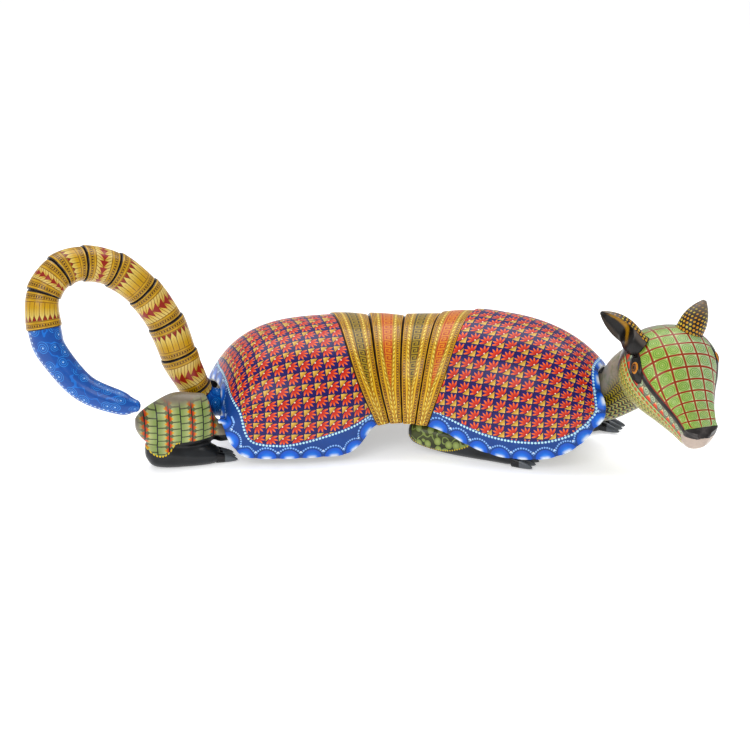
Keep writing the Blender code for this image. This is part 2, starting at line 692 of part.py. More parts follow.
def claws(name, s, out, side, material):
    """Three pointed claws at the front of a foot."""
    bm = bmesh.new()
    for k in (-1, 0, 1):
        base = body_point(s, side * (out + k * CLAW_SPREAD), 0.0048)
        tip = body_point(s + CLAW_LENGTH, side * (out + k * CLAW_SPREAD * 1.15), 0.0022)
        place = Matrix.Translation(Vector((base + tip) / 2)) @ along(tip - base)
        bmesh.ops.create_cone(bm, cap_ends=True, segments=10, radius1=0.0034, radius2=0.0007,
                              depth=CLAW_LENGTH, matrix=place)
    return as_tool(add_object(name, bm, material))


def hip(name, where, side, depth, material):
    """The block by which a leg meets the flat side of the keel."""
    s, z = where
    inner = keel_half(s) + GAP
    middle = body_point(s, side * (inner + depth) / 2, z)
    return as_tool(rod(name, middle, to_right(s), HIP_RADIUS, depth - inner, 20, material))


def leg_dowel(name, where, side):
    s, z = where
    return make_dowel(name, body_point(s, side * keel_half(s), z), to_right(s), LEG_DOWEL, LEG_DOWEL_LENGTH)


def make_hind_leg(label, side, shift):
    skin = paint(f"hind_leg_{label}_paint", (0.24, 0.28, 0.10), 0.4)
    leg = limb(f"hind_leg_{label}", HIND_THIGH, side, shift, skin)
    foot = as_tool(limb(f"add_hind_foot_{label}", HIND_FOOT, side, shift, skin))
    toes = claws(f"add_hind_claws_{label}", -0.159 + shift, 0.0285, side, skin)
    where = (HIND_HIP[0] + shift, HIND_HIP[1])
    joint = hip(f"add_hind_hip_{label}", where, side, HIND_HIP_DEPTH, skin)
    hole = leg_dowel(f"hind_dowel_{label}", where, side)
    for part in (foot, toes, joint):
        join_on(leg, part, part.name)
    cut(leg, hole, "dowel_hole")
    return hole


def make_fore_leg(label, side, stations):
    skin = paint(f"fore_leg_{label}_paint", (0.20, 0.26, 0.10), 0.4)
    leg = limb(f"fore_leg_{label}", stations, side, 0.0, skin)
    toe_s, toe_side = stations[-1][:2]
    toes = claws(f"add_fore_claws_{label}", toe_s - 0.0035, toe_side, side, skin)
    joint = hip(f"add_fore_hip_{label}", FORE_HIPS[label], side, FORE_HIP_DEPTH, skin)
    hole = leg_dowel(f"fore_dowel_{label}", FORE_HIPS[label], side)
    for part in (toes, joint):
        join_on(leg, part, part.name)
    cut(leg, hole, "dowel_hole")
    return hole


# ---------------------------------------------------------------- assembly

def main():
    clear_scene()
    make_shields()
    make_bands()
    tail = Course(TAIL_COURSE, body_point(TAIL_STATION, 0.0, 0.0))
    make_tail(tail)
    seam_at = front_end() + NECK_SEAM_AT
    seam_facing = unit(NECK_SEAM_FACING)
    place = head_matrix()
    head_hole = make_dowel("head_dowel", seam_at, seam_facing, DOWEL, 0.022)
    point, outward = block_end(FRONT, True)
    neck_hole = make_dowel("neck_dowel", point + np.array([0, 0, NECK_ROOT_Z]), outward, DOWEL, 0.022)
    make_head(place, seam_at, seam_facing, make_ears(place) + [head_hole])
    make_neck(seam_at, seam_facing, [head_hole, neck_hole])
    holes = [neck_hole,
             make_hind_leg("right", 1, 0.0), make_hind_leg("left", -1, HIND_STRIDE),
             make_fore_leg("right", 1, FORE_RIGHT), make_fore_leg("left", -1, FORE_LEFT)]
    make_block(holes)


main()
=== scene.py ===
"""Looks of the carved and painted armadillo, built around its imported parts.

Metres, +Z up. The body bends in plan, so places on it are often (s, side, z): the distance along
the centre line from the waist, the distance to the animal's right of it, and the height.
"""

import math

import bmesh
import bpy
import numpy as np
from mathutils import Matrix, Vector


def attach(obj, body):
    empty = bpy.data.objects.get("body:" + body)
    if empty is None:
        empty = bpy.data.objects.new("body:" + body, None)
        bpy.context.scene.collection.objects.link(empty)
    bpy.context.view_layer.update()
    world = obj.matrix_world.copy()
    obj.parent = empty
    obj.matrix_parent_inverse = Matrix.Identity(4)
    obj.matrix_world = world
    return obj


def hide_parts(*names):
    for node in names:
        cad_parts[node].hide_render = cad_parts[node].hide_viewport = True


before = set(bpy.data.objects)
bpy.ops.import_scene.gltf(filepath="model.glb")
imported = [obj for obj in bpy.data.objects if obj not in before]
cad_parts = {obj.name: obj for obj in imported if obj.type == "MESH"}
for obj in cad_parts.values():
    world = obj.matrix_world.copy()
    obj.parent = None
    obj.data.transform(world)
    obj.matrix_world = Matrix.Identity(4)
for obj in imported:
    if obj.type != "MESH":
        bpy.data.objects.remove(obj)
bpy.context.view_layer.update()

FIGURE, TAIL = "figure", "tail"

# ---- camera and light ----
CAMERA_TARGET = (0.0024, 0.0477, 0.0496)
CAMERA_ELEVATION = 19.0
CAMERA_DISTANCE = 1.65
CAMERA_LENS = 99.0

# ---- centre line and armour, as in the parts ----
# "string" is the row of dots inside the rim: how far along the shield from the bands, and the angle
# from the ridge.
WAIST = (0.0240, 0.0476)
HEADING_REAR = -16.0
HEADING_FRONT = 24.0
BEND_REACH = 0.089
EQUATOR = 0.0352
WAIST_HALF = 0.0510
WAIST_CROWN = 0.0620
SKIRT = 0.080
ROUNDNESS = 0.92
BAND_ANGLE = 94.5
FAR_FAN = -0.4
BAND_COUNT = 4
STEP = 0.0014
GAP = 0.0003
PLATE = 0.005
PLATE_EDGE = 0.003
CORNER_POWER = 3.2
REAR = {"edge": 0.053, "fan": 0.0295, "end": 0.148, "swell": 0.0605, "half": 0.066, "crown": 0.063,
        "end_half": 0.046, "end_crown": 0.019, "fall": 3.0, "ears": (0.012, 0.002), "corner": 0.79,
        "rim": 108.8, "rim_from": 0.35,
        "string": [(0.00, 89.0), (0.397, 96.3), (0.560, 99.5), (0.672, 101.0), (0.758, 100.4),
                   (0.819, 98.5), (0.847, 91.9), (0.860, 72.9), (0.942, 33.7), (0.970, 0.0)]}
FRONT = {"edge": 0.056, "fan": 0.0225, "end": 0.162, "swell": 0.074, "half": 0.0565, "crown": 0.0715,
         "end_half": 0.033, "end_crown": 0.041, "fall": 2.2, "ears": (0.021, -0.004), "corner": 0.55,
         "rim": 106.8, "rim_from": 0.55,
         "string": [(0.00, 86.5), (0.188, 90.6), (0.376, 94.7), (0.517, 96.6), (0.630, 96.9),
                    (0.734, 95.0), (0.830, 90.4), (0.880, 80.0), (0.926, 59.6), (0.975, 0.0)]}

# ---- painted details of the armour ----
CELL = 0.0100           # one square of the star pattern
SCALLOP = 0.0175        # one scallop along the rim
SCALLOP_RADIUS = 0.0074
LOBE = 0.0007           # how far each scallop stands out of the rim
RIM_DOTS = 0.0026
RIM_DOT = 0.00092       # radius of a dot in the string
ARC_DOTS = 0.0021       # spacing of the small dots round each scallop
ARC_RADIUS = 0.0094
STAR_AT = 0.34          # where a star's petals spring from, as a share of its square
GOLD_HALF = 0.66        # the gold corner of a square reaches where x + y is this
LINE_HALF = 0.478       # half of a square inside its dark outline
KEY = 0.0058            # one turn of the meander
PANEL = 0.0052          # half width of the meander's panel on the ridge
BAND_DOTS = 0.0021      # spacing of the dots along the edges of bands and tail rings
BAND_DOT = 0.00066
ROPE_TWIST = 0.0036

# ---- tail ----
TAIL_STATION = -0.151
TAIL_COURSE = [
    (0.0240, 0.0050, 0.0375, 0.0110), (0.0040, -0.0010, 0.0380, 0.0110),
    (-0.0095, -0.0065, 0.0435, 0.0115), (-0.0210, -0.0110, 0.0665, 0.0130),
    (-0.0265, -0.0115, 0.0800, 0.0140), (-0.0360, -0.0110, 0.1065, 0.0140),
    (-0.0520, -0.0120, 0.1315, 0.0135), (-0.0740, -0.0170, 0.1510, 0.0135),
    (-0.0965, -0.0270, 0.1585, 0.0130), (-0.1135, -0.0380, 0.1540, 0.0130),
    (-0.1240, -0.0480, 0.1375, 0.0125), (-0.1220, -0.0550, 0.1115, 0.0125),
    (-0.1155, -0.0580, 0.0955, 0.0115), (-0.0940, -0.0640, 0.0720, 0.0105),
    (-0.0660, -0.0690, 0.0615, 0.0090), (-0.0550, -0.0700, 0.0595, 0.0050),
]
TAIL_STUB = 0.041
RING_ENDS = [0.0485, 0.079, 0.107, 0.137, 0.166, 0.191, 0.2115, 0.232, 0.258]
TAIL_CAP = 0.0042       # how far the rounded end goes past the course
TAIL_PEG_SIDE = 0.008
TAIL_PEG_LENGTH = 0.026
PLUG_GAP = 0.0004
BLOCK_SHORT = 0.014
RING_STEP = 0.8 * STEP
RING_ROUNDING = 0.0006
LEAVES = 20             # leaves round one tail ring
TAIL_GIRTH = 0.084      # distance round a ring, for its dots
BELT_AT = 0.0068        # from a ring's edge to its belt
SPIRAL_TURN = 0.0015    # distance between the turns of a spiral on the blue
SPIRAL_RADIUS = 0.0046

# ---- head, neck and ears ----
HEAD_AT = (0.0410, -0.0200, 0.0970)
HEAD_TURN = 72.0
HEAD_NOD = 25.0
HEAD_TILT = 1.5
HEAD_STATIONS = [
    (-0.0135, 0.0140, 0.0095, -0.0155), (-0.0055, 0.0245, 0.0190, -0.0235),
    (0.0065, 0.0340, 0.0265, -0.0305), (0.0220, 0.0385, 0.0285, -0.0330),
    (0.0380, 0.0340, 0.0255, -0.0320), (0.0535, 0.0250, 0.0180, -0.0300),
    (0.0685, 0.0180, 0.0095, -0.0270), (0.0820, 0.0140, 0.0020, -0.0235),
    (0.0890, 0.0115, -0.0020, -0.0195), (0.0925, 0.0055, -0.0065, -0.0145),
]
NECK_COURSE = [
    (-0.0240, 0.0100, 0.0510, 0.0165, 0.0190), (-0.0120, 0.0053, 0.0510, 0.0165, 0.0190),
    (0.0030, -0.0013, 0.0510, 0.0158, 0.0185), (0.0130, -0.0058, 0.0565, 0.0160, 0.0187),
    (0.0250, -0.0120, 0.0700, 0.0215, 0.0230), (0.0400, -0.0230, 0.0850, 0.0225, 0.0225),
    (0.0500, -0.0330, 0.0920, 0.0200, 0.0200),
]
NECK_SEAM_AT = (0.0310, -0.0180, 0.0800)
NECK_SEAM_FACING = (0.66, -0.72, 0.10)
EYE_X = 0.0305          # along the head
EYE_BELOW = 0.0055      # below the edge of the green squares
EYE_RING = 0.0034
CIRCLE_GAP = 0.0062     # spacing of the circles and triangles on the cheek
JAW_DOTS = 0.0034
NOSE_AT = 0.0862        # where the dark nose starts along the head
LIP_HEIGHT = -0.0058    # height of the line between nose and chin
EARS = {
    "left": {"root": (0.0140, 0.0107, 0.0115), "points": (-0.40, 0.50, 0.80),
             "opens": (-0.85, 0.5, 0.0)},
    "right": {"root": (0.0165, -0.0245, 0.0195), "points": (-0.60, -0.66, 0.45),
              "opens": (0.35, -1.0, 0.10)},
}
EAR_STATIONS = [
    (0.000, 0.0085, 1.0), (0.005, 0.0093, 1.0), (0.010, 0.0101, 0.75), (0.016, 0.0107, -0.45),
    (0.023, 0.0102, -0.70), (0.030, 0.0080, -0.70), (0.036, 0.0046, -0.6), (0.0400, 0.0014, -0.2),
]
EAR_SEAT = [
    (-0.0003, 0.0090, 1.0), (0.004, 0.0097, 1.0), (0.009, 0.0105, 1.0), (0.016, 0.0113, 1.0),
    (0.040, 0.0113, 1.0),
]
EAR_ROWS = 0.0030       # spacing of the rows of dots on the back, and of the dots in a row
EAR_DOTS = 0.0029
EAR_PEG_SIDE = 0.0050
EAR_PEG_LENGTH = 0.016

# ---- legs ----
HIND_THIGH = [
    (-0.2200, 0.0285, 0.0365, 0.0030, 0.0040), (-0.2160, 0.0285, 0.0350, 0.0085, 0.0100),
    (-0.2060, 0.0285, 0.0340, 0.0130, 0.0175), (-0.1900, 0.0285, 0.0345, 0.0145, 0.0240),
    (-0.1740, 0.0280, 0.0340, 0.0132, 0.0228), (-0.1640, 0.0258, 0.0330, 0.0102, 0.0205),
    (-0.1590, 0.0240, 0.0280, 0.0085, 0.0120), (-0.1530, 0.0240, 0.0225, 0.0085, 0.0085),
    (-0.1400, 0.0235, 0.0230, 0.0080, 0.0085),
    (-0.1220, 0.0235, 0.0240, 0.0080, 0.0095), (-0.1120, 0.0235, 0.0240, 0.0040, 0.0060),
]
HIND_FOOT = [
    (-0.2130, 0.0285, 0.0140, 0.0040, 0.0050), (-0.2080, 0.0285, 0.0125, 0.0095, 0.0110),
    (-0.1970, 0.0285, 0.0108, 0.0130, 0.0122), (-0.1820, 0.0285, 0.0085, 0.0135, 0.0105),
    (-0.1680, 0.0285, 0.0070, 0.0130, 0.0090), (-0.1590, 0.0285, 0.0060, 0.0110, 0.0070),
    (-0.1550, 0.0285, 0.0055, 0.0060, 0.0045),
]
HIND_HIP = (-0.1240, 0.0265)
HIND_STRIDE = 0.076
FORE_RIGHT = [
    (0.0100, 0.0390, 0.0170, 0.0030, 0.0040), (0.0150, 0.0390, 0.0170, 0.0080, 0.0085),
    (0.0270, 0.0390, 0.0160, 0.0108, 0.0110), (0.0480, 0.0385, 0.0130, 0.0100, 0.0118),
    (0.0700, 0.0375, 0.0108, 0.0098, 0.0112), (0.0900, 0.0370, 0.0085, 0.0104, 0.0090),
    (0.1040, 0.0375, 0.0065, 0.0100, 0.0068), (0.1120, 0.0380, 0.0055, 0.0070, 0.0050),
]
FORE_LEFT = [
    (0.0700, 0.0330, 0.0190, 0.0030, 0.0040), (0.0750, 0.0330, 0.0190, 0.0070, 0.0090),
    (0.0880, 0.0330, 0.0180, 0.0080, 0.0110), (0.1060, 0.0330, 0.0130, 0.0072, 0.0100),
    (0.1200, 0.0370, 0.0060, 0.0075, 0.0060), (0.1300, 0.0445, 0.0038, 0.0085, 0.0042),
    (0.1380, 0.0540, 0.0045, 0.0090, 0.0050), (0.1450, 0.0620, 0.0070, 0.0090, 0.0078),
    (0.1490, 0.0655, 0.0055, 0.0070, 0.0052),
]
FORE_HIPS = {"right": (0.0880, 0.0240), "left": (0.0960, 0.0240)}
HIP_RADIUS = 0.0080
HIND_HIP_DEPTH = 0.0240
FORE_HIP_DEPTH = 0.0370
KEEL_REAR = 0.013
KEEL_FRONT = 0.024
LEAF_COLUMN = 0.0090    # width of one column of leaves on a hind leg
LEAF_HEIGHT = 0.0056
CLAW_SPREAD = 0.0068
CLAW_LENGTH = 0.017
LEG_VOXEL = 0.0009


# ---------------------------------------------------------------- small tools

def ease(t):
    t = np.clip(t, 0.0, 1.0)
    return t * t * (3 - 2 * t)


def unit(vectors):
    vectors = np.asarray(vectors, float)
    return vectors / np.linalg.norm(vectors, axis=-1, keepdims=True)


def colour(code):
    """Linear colour of a web colour code."""
    values = [int(code[k:k + 2], 16) / 255 for k in (0, 2, 4)]
    return tuple(v / 12.92 if v <= 0.04045 else ((v + 0.055) / 1.055) ** 2.4 for v in values)


def run_along(points):
    """Distance along a line to each of its points."""
    steps = np.linalg.norm(np.diff(points, axis=0), axis=1)
    return np.concatenate([[0], np.cumsum(steps)])


def sample_at(rows, length, where):
    return np.stack([np.interp(where, length, rows[:, k]) for k in range(rows.shape[1])], axis=-1)


def smooth_course(points, count):
    """Samples a smooth curve through the given rows, evenly by distance."""
    rows = np.asarray(points, float)
    padded = np.vstack([2 * rows[0] - rows[1], rows, 2 * rows[-1] - rows[-2]])
    fine = []
    for k in range(len(rows) - 1):
        a, b, c, d = padded[k:k + 4]
        for t in np.linspace(0, 1, 24, endpoint=False):
            fine.append(0.5 * (2 * b + (c - a) * t + (2 * a - 5 * b + 4 * c - d) * t ** 2
                               + (3 * b - a - 3 * c + d) * t ** 3))
    fine.append(rows[-1])
    fine = np.array(fine)
    length = run_along(fine[:, :3])
    return sample_at(fine, length, np.linspace(0, length[-1], count))


def smooth_profile(points, where):
    """Smooth rows of a profile whose first value is the distance along its axis."""
    rows = np.asarray(points, float)
    slopes = np.gradient(rows, rows[:, 0], axis=0)
    where = np.clip(np.asarray(where, float), rows[0, 0], rows[-1, 0])
    k = np.clip(np.searchsorted(rows[:, 0], where, side="right") - 1, 0, len(rows) - 2)
    width = (rows[k + 1, 0] - rows[k, 0])[:, None]
    t = (where[:, None] - rows[k, :1]) / width
    return ((2 * t ** 3 - 3 * t ** 2 + 1) * rows[k] + (t ** 3 - 2 * t ** 2 + t) * width * slopes[k]
            + (3 * t ** 2 - 2 * t ** 3) * rows[k + 1] + (t ** 3 - t ** 2) * width * slopes[k + 1])


def along(direction):
    return Vector(direction).to_track_quat("Z", "Y").to_matrix().to_4x4()


# ---------------------------------------------------------------- meshes

def link_object(name, data):
    item = bpy.data.objects.new(name, data)
    bpy.context.collection.objects.link(item)
    return item


def new_object(name, points, faces):
    mesh = bpy.data.meshes.new(name)
    mesh.from_pydata([tuple(p) for p in points], [], faces)
    mesh.update()
    return link_object(name, mesh)


def from_bmesh(bm, name):
    mesh = bpy.data.meshes.new(name)
    bm.to_mesh(mesh)
    bm.free()
    return link_object(name, mesh)


def joined(items, name):
    """One object made of several closed ones, which it takes away."""
    bm = bmesh.new()
    for item in items:
        bm.from_mesh(item.data)
        bpy.data.objects.remove(item, do_unlink=True)
    return from_bmesh(bm, name)


def fix_normals(item):
    bm = bmesh.new()
    bm.from_mesh(item.data)
    bmesh.ops.recalc_face_normals(bm, faces=bm.faces)
    bm.to_mesh(item.data)
    bm.free()


def smooth_shade(item, angle=40.0):
    """Smooth shading, with edges sharper than the angle left crisp."""
    item.data.shade_smooth()
    item.data.set_sharp_from_angle(angle=math.radians(angle))


def store(item, **values):
    """Keeps numbers on the points of a mesh for its paint to read."""
    for name, value in values.items():
        layer = item.data.attributes.new(name, "FLOAT", "POINT")
        layer.data.foreach_set("value", np.asarray(value, np.float32).ravel())


def points_of(item):
    co = np.zeros(len(item.data.vertices) * 3)
    item.data.vertices.foreach_get("co", co)
    return co.reshape(-1, 3)


def loft_faces(rings, count):
    faces = []
    for r in range(rings - 1):
        for k in range(count):
            n = (k + 1) % count
            faces.append((r * count + k, r * count + n, (r + 1) * count + n, (r + 1) * count + k))
    faces.append(tuple(range(count)))
    faces.append(tuple(reversed(range((rings - 1) * count, rings * count))))
    return faces


def loft(name, rings):
    rings = [np.asarray(ring, float) for ring in rings]
    item = new_object(name, np.vstack(rings), loft_faces(len(rings), len(rings[0])))
    fix_normals(item)
    return item


def rod(name, centre, direction, radius, length, sides):
    """A rod about a point; four sides make a square bar of half width radius."""
    corner = radius / math.cos(math.pi / sides) if sides == 4 else radius
    bm = bmesh.new()
    place = Matrix.Translation(Vector(centre)) @ along(direction)
    bmesh.ops.create_cone(bm, cap_ends=True, segments=sides, radius1=corner, radius2=corner,
                          depth=length, matrix=place)
    return from_bmesh(bm, name)


def peg_hole(name, centre, direction, side, length):
    """The tool that cuts the square hole round a peg."""
    return rod(name, centre, direction, side / 2 + PLUG_GAP, length + 4 * GAP, 4)


def apply_modifiers(item):
    """Turns the modifiers of an object into plain mesh."""
    bpy.context.view_layer.update()
    finished = item.evaluated_get(bpy.context.evaluated_depsgraph_get())
    made = bpy.data.meshes.new_from_object(finished)
    item.modifiers.clear()
    item.data = made


def cut(item, tools):
    """Cuts the tools out of an object and removes them."""
    for tool in tools:
        change = item.modifiers.new(tool.name, "BOOLEAN")
        change.operation = "DIFFERENCE"
        change.solver = "EXACT"
        change.object = tool
    apply_modifiers(item)
    for tool in tools:
        bpy.data.objects.remove(tool, do_unlink=True)


def split(item, point, facing):
    """Keeps what lies on the facing side of a plane, and closes the cut."""
    bm = bmesh.new()
    bm.from_mesh(item.data)
    geometry = bm.verts[:] + bm.edges[:] + bm.faces[:]
    done = bmesh.ops.bisect_plane(bm, geom=geometry, plane_co=Vector(point),
                                  plane_no=Vector(facing), clear_inner=True)
    edges = [g for g in done["geom_cut"] if isinstance(g, bmesh.types.BMEdge)]
    bmesh.ops.holes_fill(bm, edges=edges, sides=0)
    bmesh.ops.recalc_face_normals(bm, faces=bm.faces)
    bm.to_mesh(item.data)
    bm.free()


def settle(item, node, body, material):
    """Puts a finished piece in place of its part."""
    item.data.materials.clear()
    item.data.materials.append(material)
    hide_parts(node)
    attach(item, body)


# ---------------------------------------------------------------- paint mixing

def arithmetic(kind, swapped=False):
    """A method of Num that does one step of arithmetic in the material."""
    def step(self, *others):
        return self.paint.math(kind, *((*others, self) if swapped else (self, *others)))
    return step


class Num:
    """A number or colour that a material works out at each point of a surface."""

    def __init__(self, paint, socket):
        self.paint = paint
        self.socket = socket

    __add__ = arithmetic("ADD")
    __radd__ = arithmetic("ADD", swapped=True)
    __sub__ = arithmetic("SUBTRACT")
    __rsub__ = arithmetic("SUBTRACT", swapped=True)
    __mul__ = arithmetic("MULTIPLY")
    __rmul__ = arithmetic("MULTIPLY", swapped=True)
    __truediv__ = arithmetic("DIVIDE")
    __lt__ = arithmetic("LESS_THAN")
    __gt__ = arithmetic("GREATER_THAN")
    __abs__ = arithmetic("ABSOLUTE")
    fract = arithmetic("FRACT")
    floor = arithmetic("FLOOR")
    power = arithmetic("POWER")
    root = arithmetic("SQRT")
    least = arithmetic("MINIMUM")
    most = arithmetic("MAXIMUM")

    def near(self, value, reach):
        """1 where this is within reach of value, else 0."""
        return self.paint.math("COMPARE", self, value, reach)

    def between(self, low, high):
        """0 at low and 1 at high, smooth between."""
        node = self.paint.node("ShaderNodeMapRange")
        node.interpolation_type = "SMOOTHSTEP"
        node.inputs["From Min"].default_value = low
        node.inputs["From Max"].default_value = high
        self.paint.plug(self, node.inputs["Value"])
        return Num(self.paint, node.outputs["Result"])


class Paint:
    """A varnished paint: reads numbers stored on the mesh and lays colours over each other."""

    def __init__(self, name, roughness=0.38, varnish=0.2):
        self.material = bpy.data.materials.new(name)
        self.material.use_nodes = True
        self.tree = self.material.node_tree
        self.shader = self.tree.nodes["Principled BSDF"]
        self.shader.inputs["Roughness"].default_value = roughness
        self.shader.inputs["Specular IOR Level"].default_value = 0.25
        self.shader.inputs["Coat Weight"].default_value = varnish
        self.shader.inputs["Coat Roughness"].default_value = 0.14

    def node(self, kind):
        return self.tree.nodes.new(kind)

    def plug(self, value, socket):
        if isinstance(value, Num):
            self.tree.links.new(value.socket, socket)
        elif isinstance(value, str):
            socket.default_value = (*colour(value), 1.0)
        else:
            socket.default_value = value

    def math(self, kind, *values):
        node = self.node("ShaderNodeMath")
        node.operation = kind
        for value, socket in zip(values, node.inputs):
            self.plug(value, socket)
        return Num(self, node.outputs[0])

    def read(self, name):
        node = self.node("ShaderNodeAttribute")
        node.attribute_name = name
        return Num(self, node.outputs["Fac"])

    def combine(self, x, y, z=0.0):
        node = self.node("ShaderNodeCombineXYZ")
        for value, socket in zip((x, y, z), node.inputs):
            self.plug(value, socket)
        return Num(self, node.outputs[0])

    def place(self):
        return Num(self, self.node("ShaderNodeTexCoord").outputs["Object"])

    def parts(self, vector):
        node = self.node("ShaderNodeSeparateXYZ")
        self.plug(vector, node.inputs[0])
        return [Num(self, socket) for socket in node.outputs]

    def noise(self, scale, detail=2.0, where=None):
        node = self.node("ShaderNodeTexNoise")
        node.inputs["Scale"].default_value = scale
        node.inputs["Detail"].default_value = detail
        self.plug(where or self.place(), node.inputs["Vector"])
        return Num(self, node.outputs["Fac"])

    def cells(self, where, scale, randomness, flat=True):
        """Scattered points: the distance to the nearest one, and its own place."""
        node = self.node("ShaderNodeTexVoronoi")
        node.voronoi_dimensions = "2D" if flat else "3D"
        node.inputs["Scale"].default_value = scale
        node.inputs["Randomness"].default_value = randomness
        self.plug(where, node.inputs["Vector"])
        return Num(self, node.outputs["Distance"]), Num(self, node.outputs["Position"])

    def mix(self, low, high, share):
        """One colour over another by a share from 0 to 1."""
        node = self.node("ShaderNodeMix")
        node.data_type = "RGBA"
        self.plug(share, node.inputs["Factor"])
        self.plug(low, node.inputs[6])
        self.plug(high, node.inputs[7])
        return Num(self, node.outputs[2])

    def wobble(self, scale):
        """A slow wander around zero, as of a hand-drawn line."""
        return self.noise(scale, 1.0) - 0.5

    def mottled(self, low, high, scale, detail=2.0):
        return self.mix(low, high, self.noise(scale, detail))

    def finish(self, base, bump=None, depth=0.0003):
        """Ends with the colour, softened by a little hand-mixed variation, and its relief."""
        tone = self.node("ShaderNodeHueSaturation")
        tone.inputs["Saturation"].default_value = 1.12
        self.plug(self.noise(60.0, 3.0) * 0.30 + 0.72, tone.inputs["Value"])
        self.plug(base, tone.inputs["Color"])
        self.tree.links.new(tone.outputs[0], self.shader.inputs["Base Color"])
        if bump is None:
            bump = self.noise(260.0, 2.0)
        relief = self.node("ShaderNodeBump")
        relief.inputs["Distance"].default_value = depth
        relief.inputs["Strength"].default_value = 0.35
        self.plug(bump, relief.inputs["Height"])
        self.tree.links.new(relief.outputs[0], self.shader.inputs["Normal"])
        return self.material


def disc(x, y, radius):
    return x * x + y * y < radius * radius


def middled(value, period):
    """A distance measured from the middle of the period that it falls in."""
    return ((value / period).fract() - 0.5) * period


def dotted(run, gap, off, radius):
    """A row of dots a gap apart along run, where off is zero."""
    return disc(middled(run, gap), off, radius)


def distance(x, y):
    return (x * x + y * y).root()


def box(x, y, left, right, low, high):
    return x.near((left + right) / 2, (right - left) / 2) * y.near((low + high) / 2, (high - low) / 2)


# ---------------------------------------------------------------- body shape

def heading(s):
    turn = ease((s + BEND_REACH) / (2 * BEND_REACH))
    return np.radians(HEADING_REAR + (HEADING_FRONT - HEADING_REAR) * turn)


def trace_centre_line():
    stations = np.linspace(-0.25, 0.25, 501)
    angle = heading(stations)
    step = stations[1] - stations[0]
    line = []
    for slope in (np.cos(angle), -np.sin(angle)):
        run = np.concatenate([[0], np.cumsum((slope[1:] + slope[:-1]) / 2 * step)])
        line.append(run - np.interp(0.0, stations, run))
    return stations, line[0] + WAIST[0], line[1] + WAIST[1]


STATIONS, LINE_X, LINE_Y = trace_centre_line()


def body_point(s, side, z):
    s, side, z = np.broadcast_arrays(np.asarray(s, float), side, z)
    angle = heading(s)
    x = np.interp(s, STATIONS, LINE_X) - np.sin(angle) * side
    y = np.interp(s, STATIONS, LINE_Y) - np.cos(angle) * side
    return np.stack([x, y, z], axis=-1)


def stations_of(points):
    """Station and side of points, by the nearest place on the centre line."""
    line = np.stack([LINE_X, LINE_Y], axis=1)
    away = points[:, None, :2] - line[None]
    nearest = np.argmin((away ** 2).sum(-1), axis=1)
    angle = heading(STATIONS[nearest])
    offset = points[:, :2] - line[nearest]
    ahead = offset[:, 0] * np.cos(angle) - offset[:, 1] * np.sin(angle)
    side = -offset[:, 0] * np.sin(angle) - offset[:, 1] * np.cos(angle)
    return STATIONS[nearest] + ahead, side


def armour_size(s):
    """Half width and crown height of the armour at each station."""
    s = np.asarray(s, float)
    half = np.zeros(s.shape)
    crown = np.zeros(s.shape)
    for end, here in ((REAR, s < 0), (FRONT, s >= 0)):
        far = np.abs(s)
        rise = ease(far / end["swell"])
        t = np.clip((far - end["swell"]) / (end["end"] - end["swell"]), 0, 1.08)
        a = WAIST_HALF + (end["half"] - WAIST_HALF) * rise - (end["half"] - end["end_half"]) * t ** 2.4
        h = WAIST_CROWN + (end["crown"] - WAIST_CROWN) * rise
        fall = (end["crown"] ** 2 - end["end_crown"] ** 2) * t ** end["fall"]
        h = np.sqrt(np.maximum(h ** 2 - fall, 1e-6))
        half = np.where(here, a, half)
        crown = np.where(here, h, crown)
    return half, crown


def armour_point(s, angle, lift):
    """A point of the armour; angle in degrees from the ridge, positive on the right."""
    half, crown = armour_size(s)
    turn = np.radians(angle)
    across = np.sign(np.sin(turn)) * np.abs(np.sin(turn)) ** ROUNDNESS
    up = np.sign(np.cos(turn)) * np.abs(np.cos(turn)) ** ROUNDNESS
    z = EQUATOR + np.where(up > 0, crown + lift, SKIRT) * up
    return body_point(s, (half + lift) * across, z)


def fan(angle):
    """How far the band edges lean at an angle: 0 on the ridge, 1 at the bands' lower edge."""
    up = np.cos(np.radians(angle))
    lowest = WAIST_CROWN - SKIRT * math.cos(math.radians(BAND_ANGLE))
    drop = np.where(up > 0, WAIST_CROWN * (1 - up), WAIST_CROWN - SKIRT * up) / lowest
    return np.minimum(drop, 1.15) ** 2 * np.where(np.asarray(angle) > 0, 1.0, FAR_FAN)


def band_edge(k, angle):
    rear = -REAR["edge"] + REAR["fan"] * fan(angle)
    front = FRONT["edge"] - FRONT["fan"] * fan(angle)
    return rear + (front - rear) * k / BAND_COUNT


def shield_station(end, forward, reach, angle):
    """Station of a place on a shield: reach is 0 at the bands and 1 at its far edge."""
    inner = band_edge(BAND_COUNT if forward else 0, angle)
    inner = inner + (GAP if forward else -GAP)
    ears = np.where(angle > 0, *end["ears"])
    outer = end["end"] + ears * np.sin(np.radians(angle)) ** 2
    outer = outer if forward else -outer
    return inner + (outer - inner) * reach


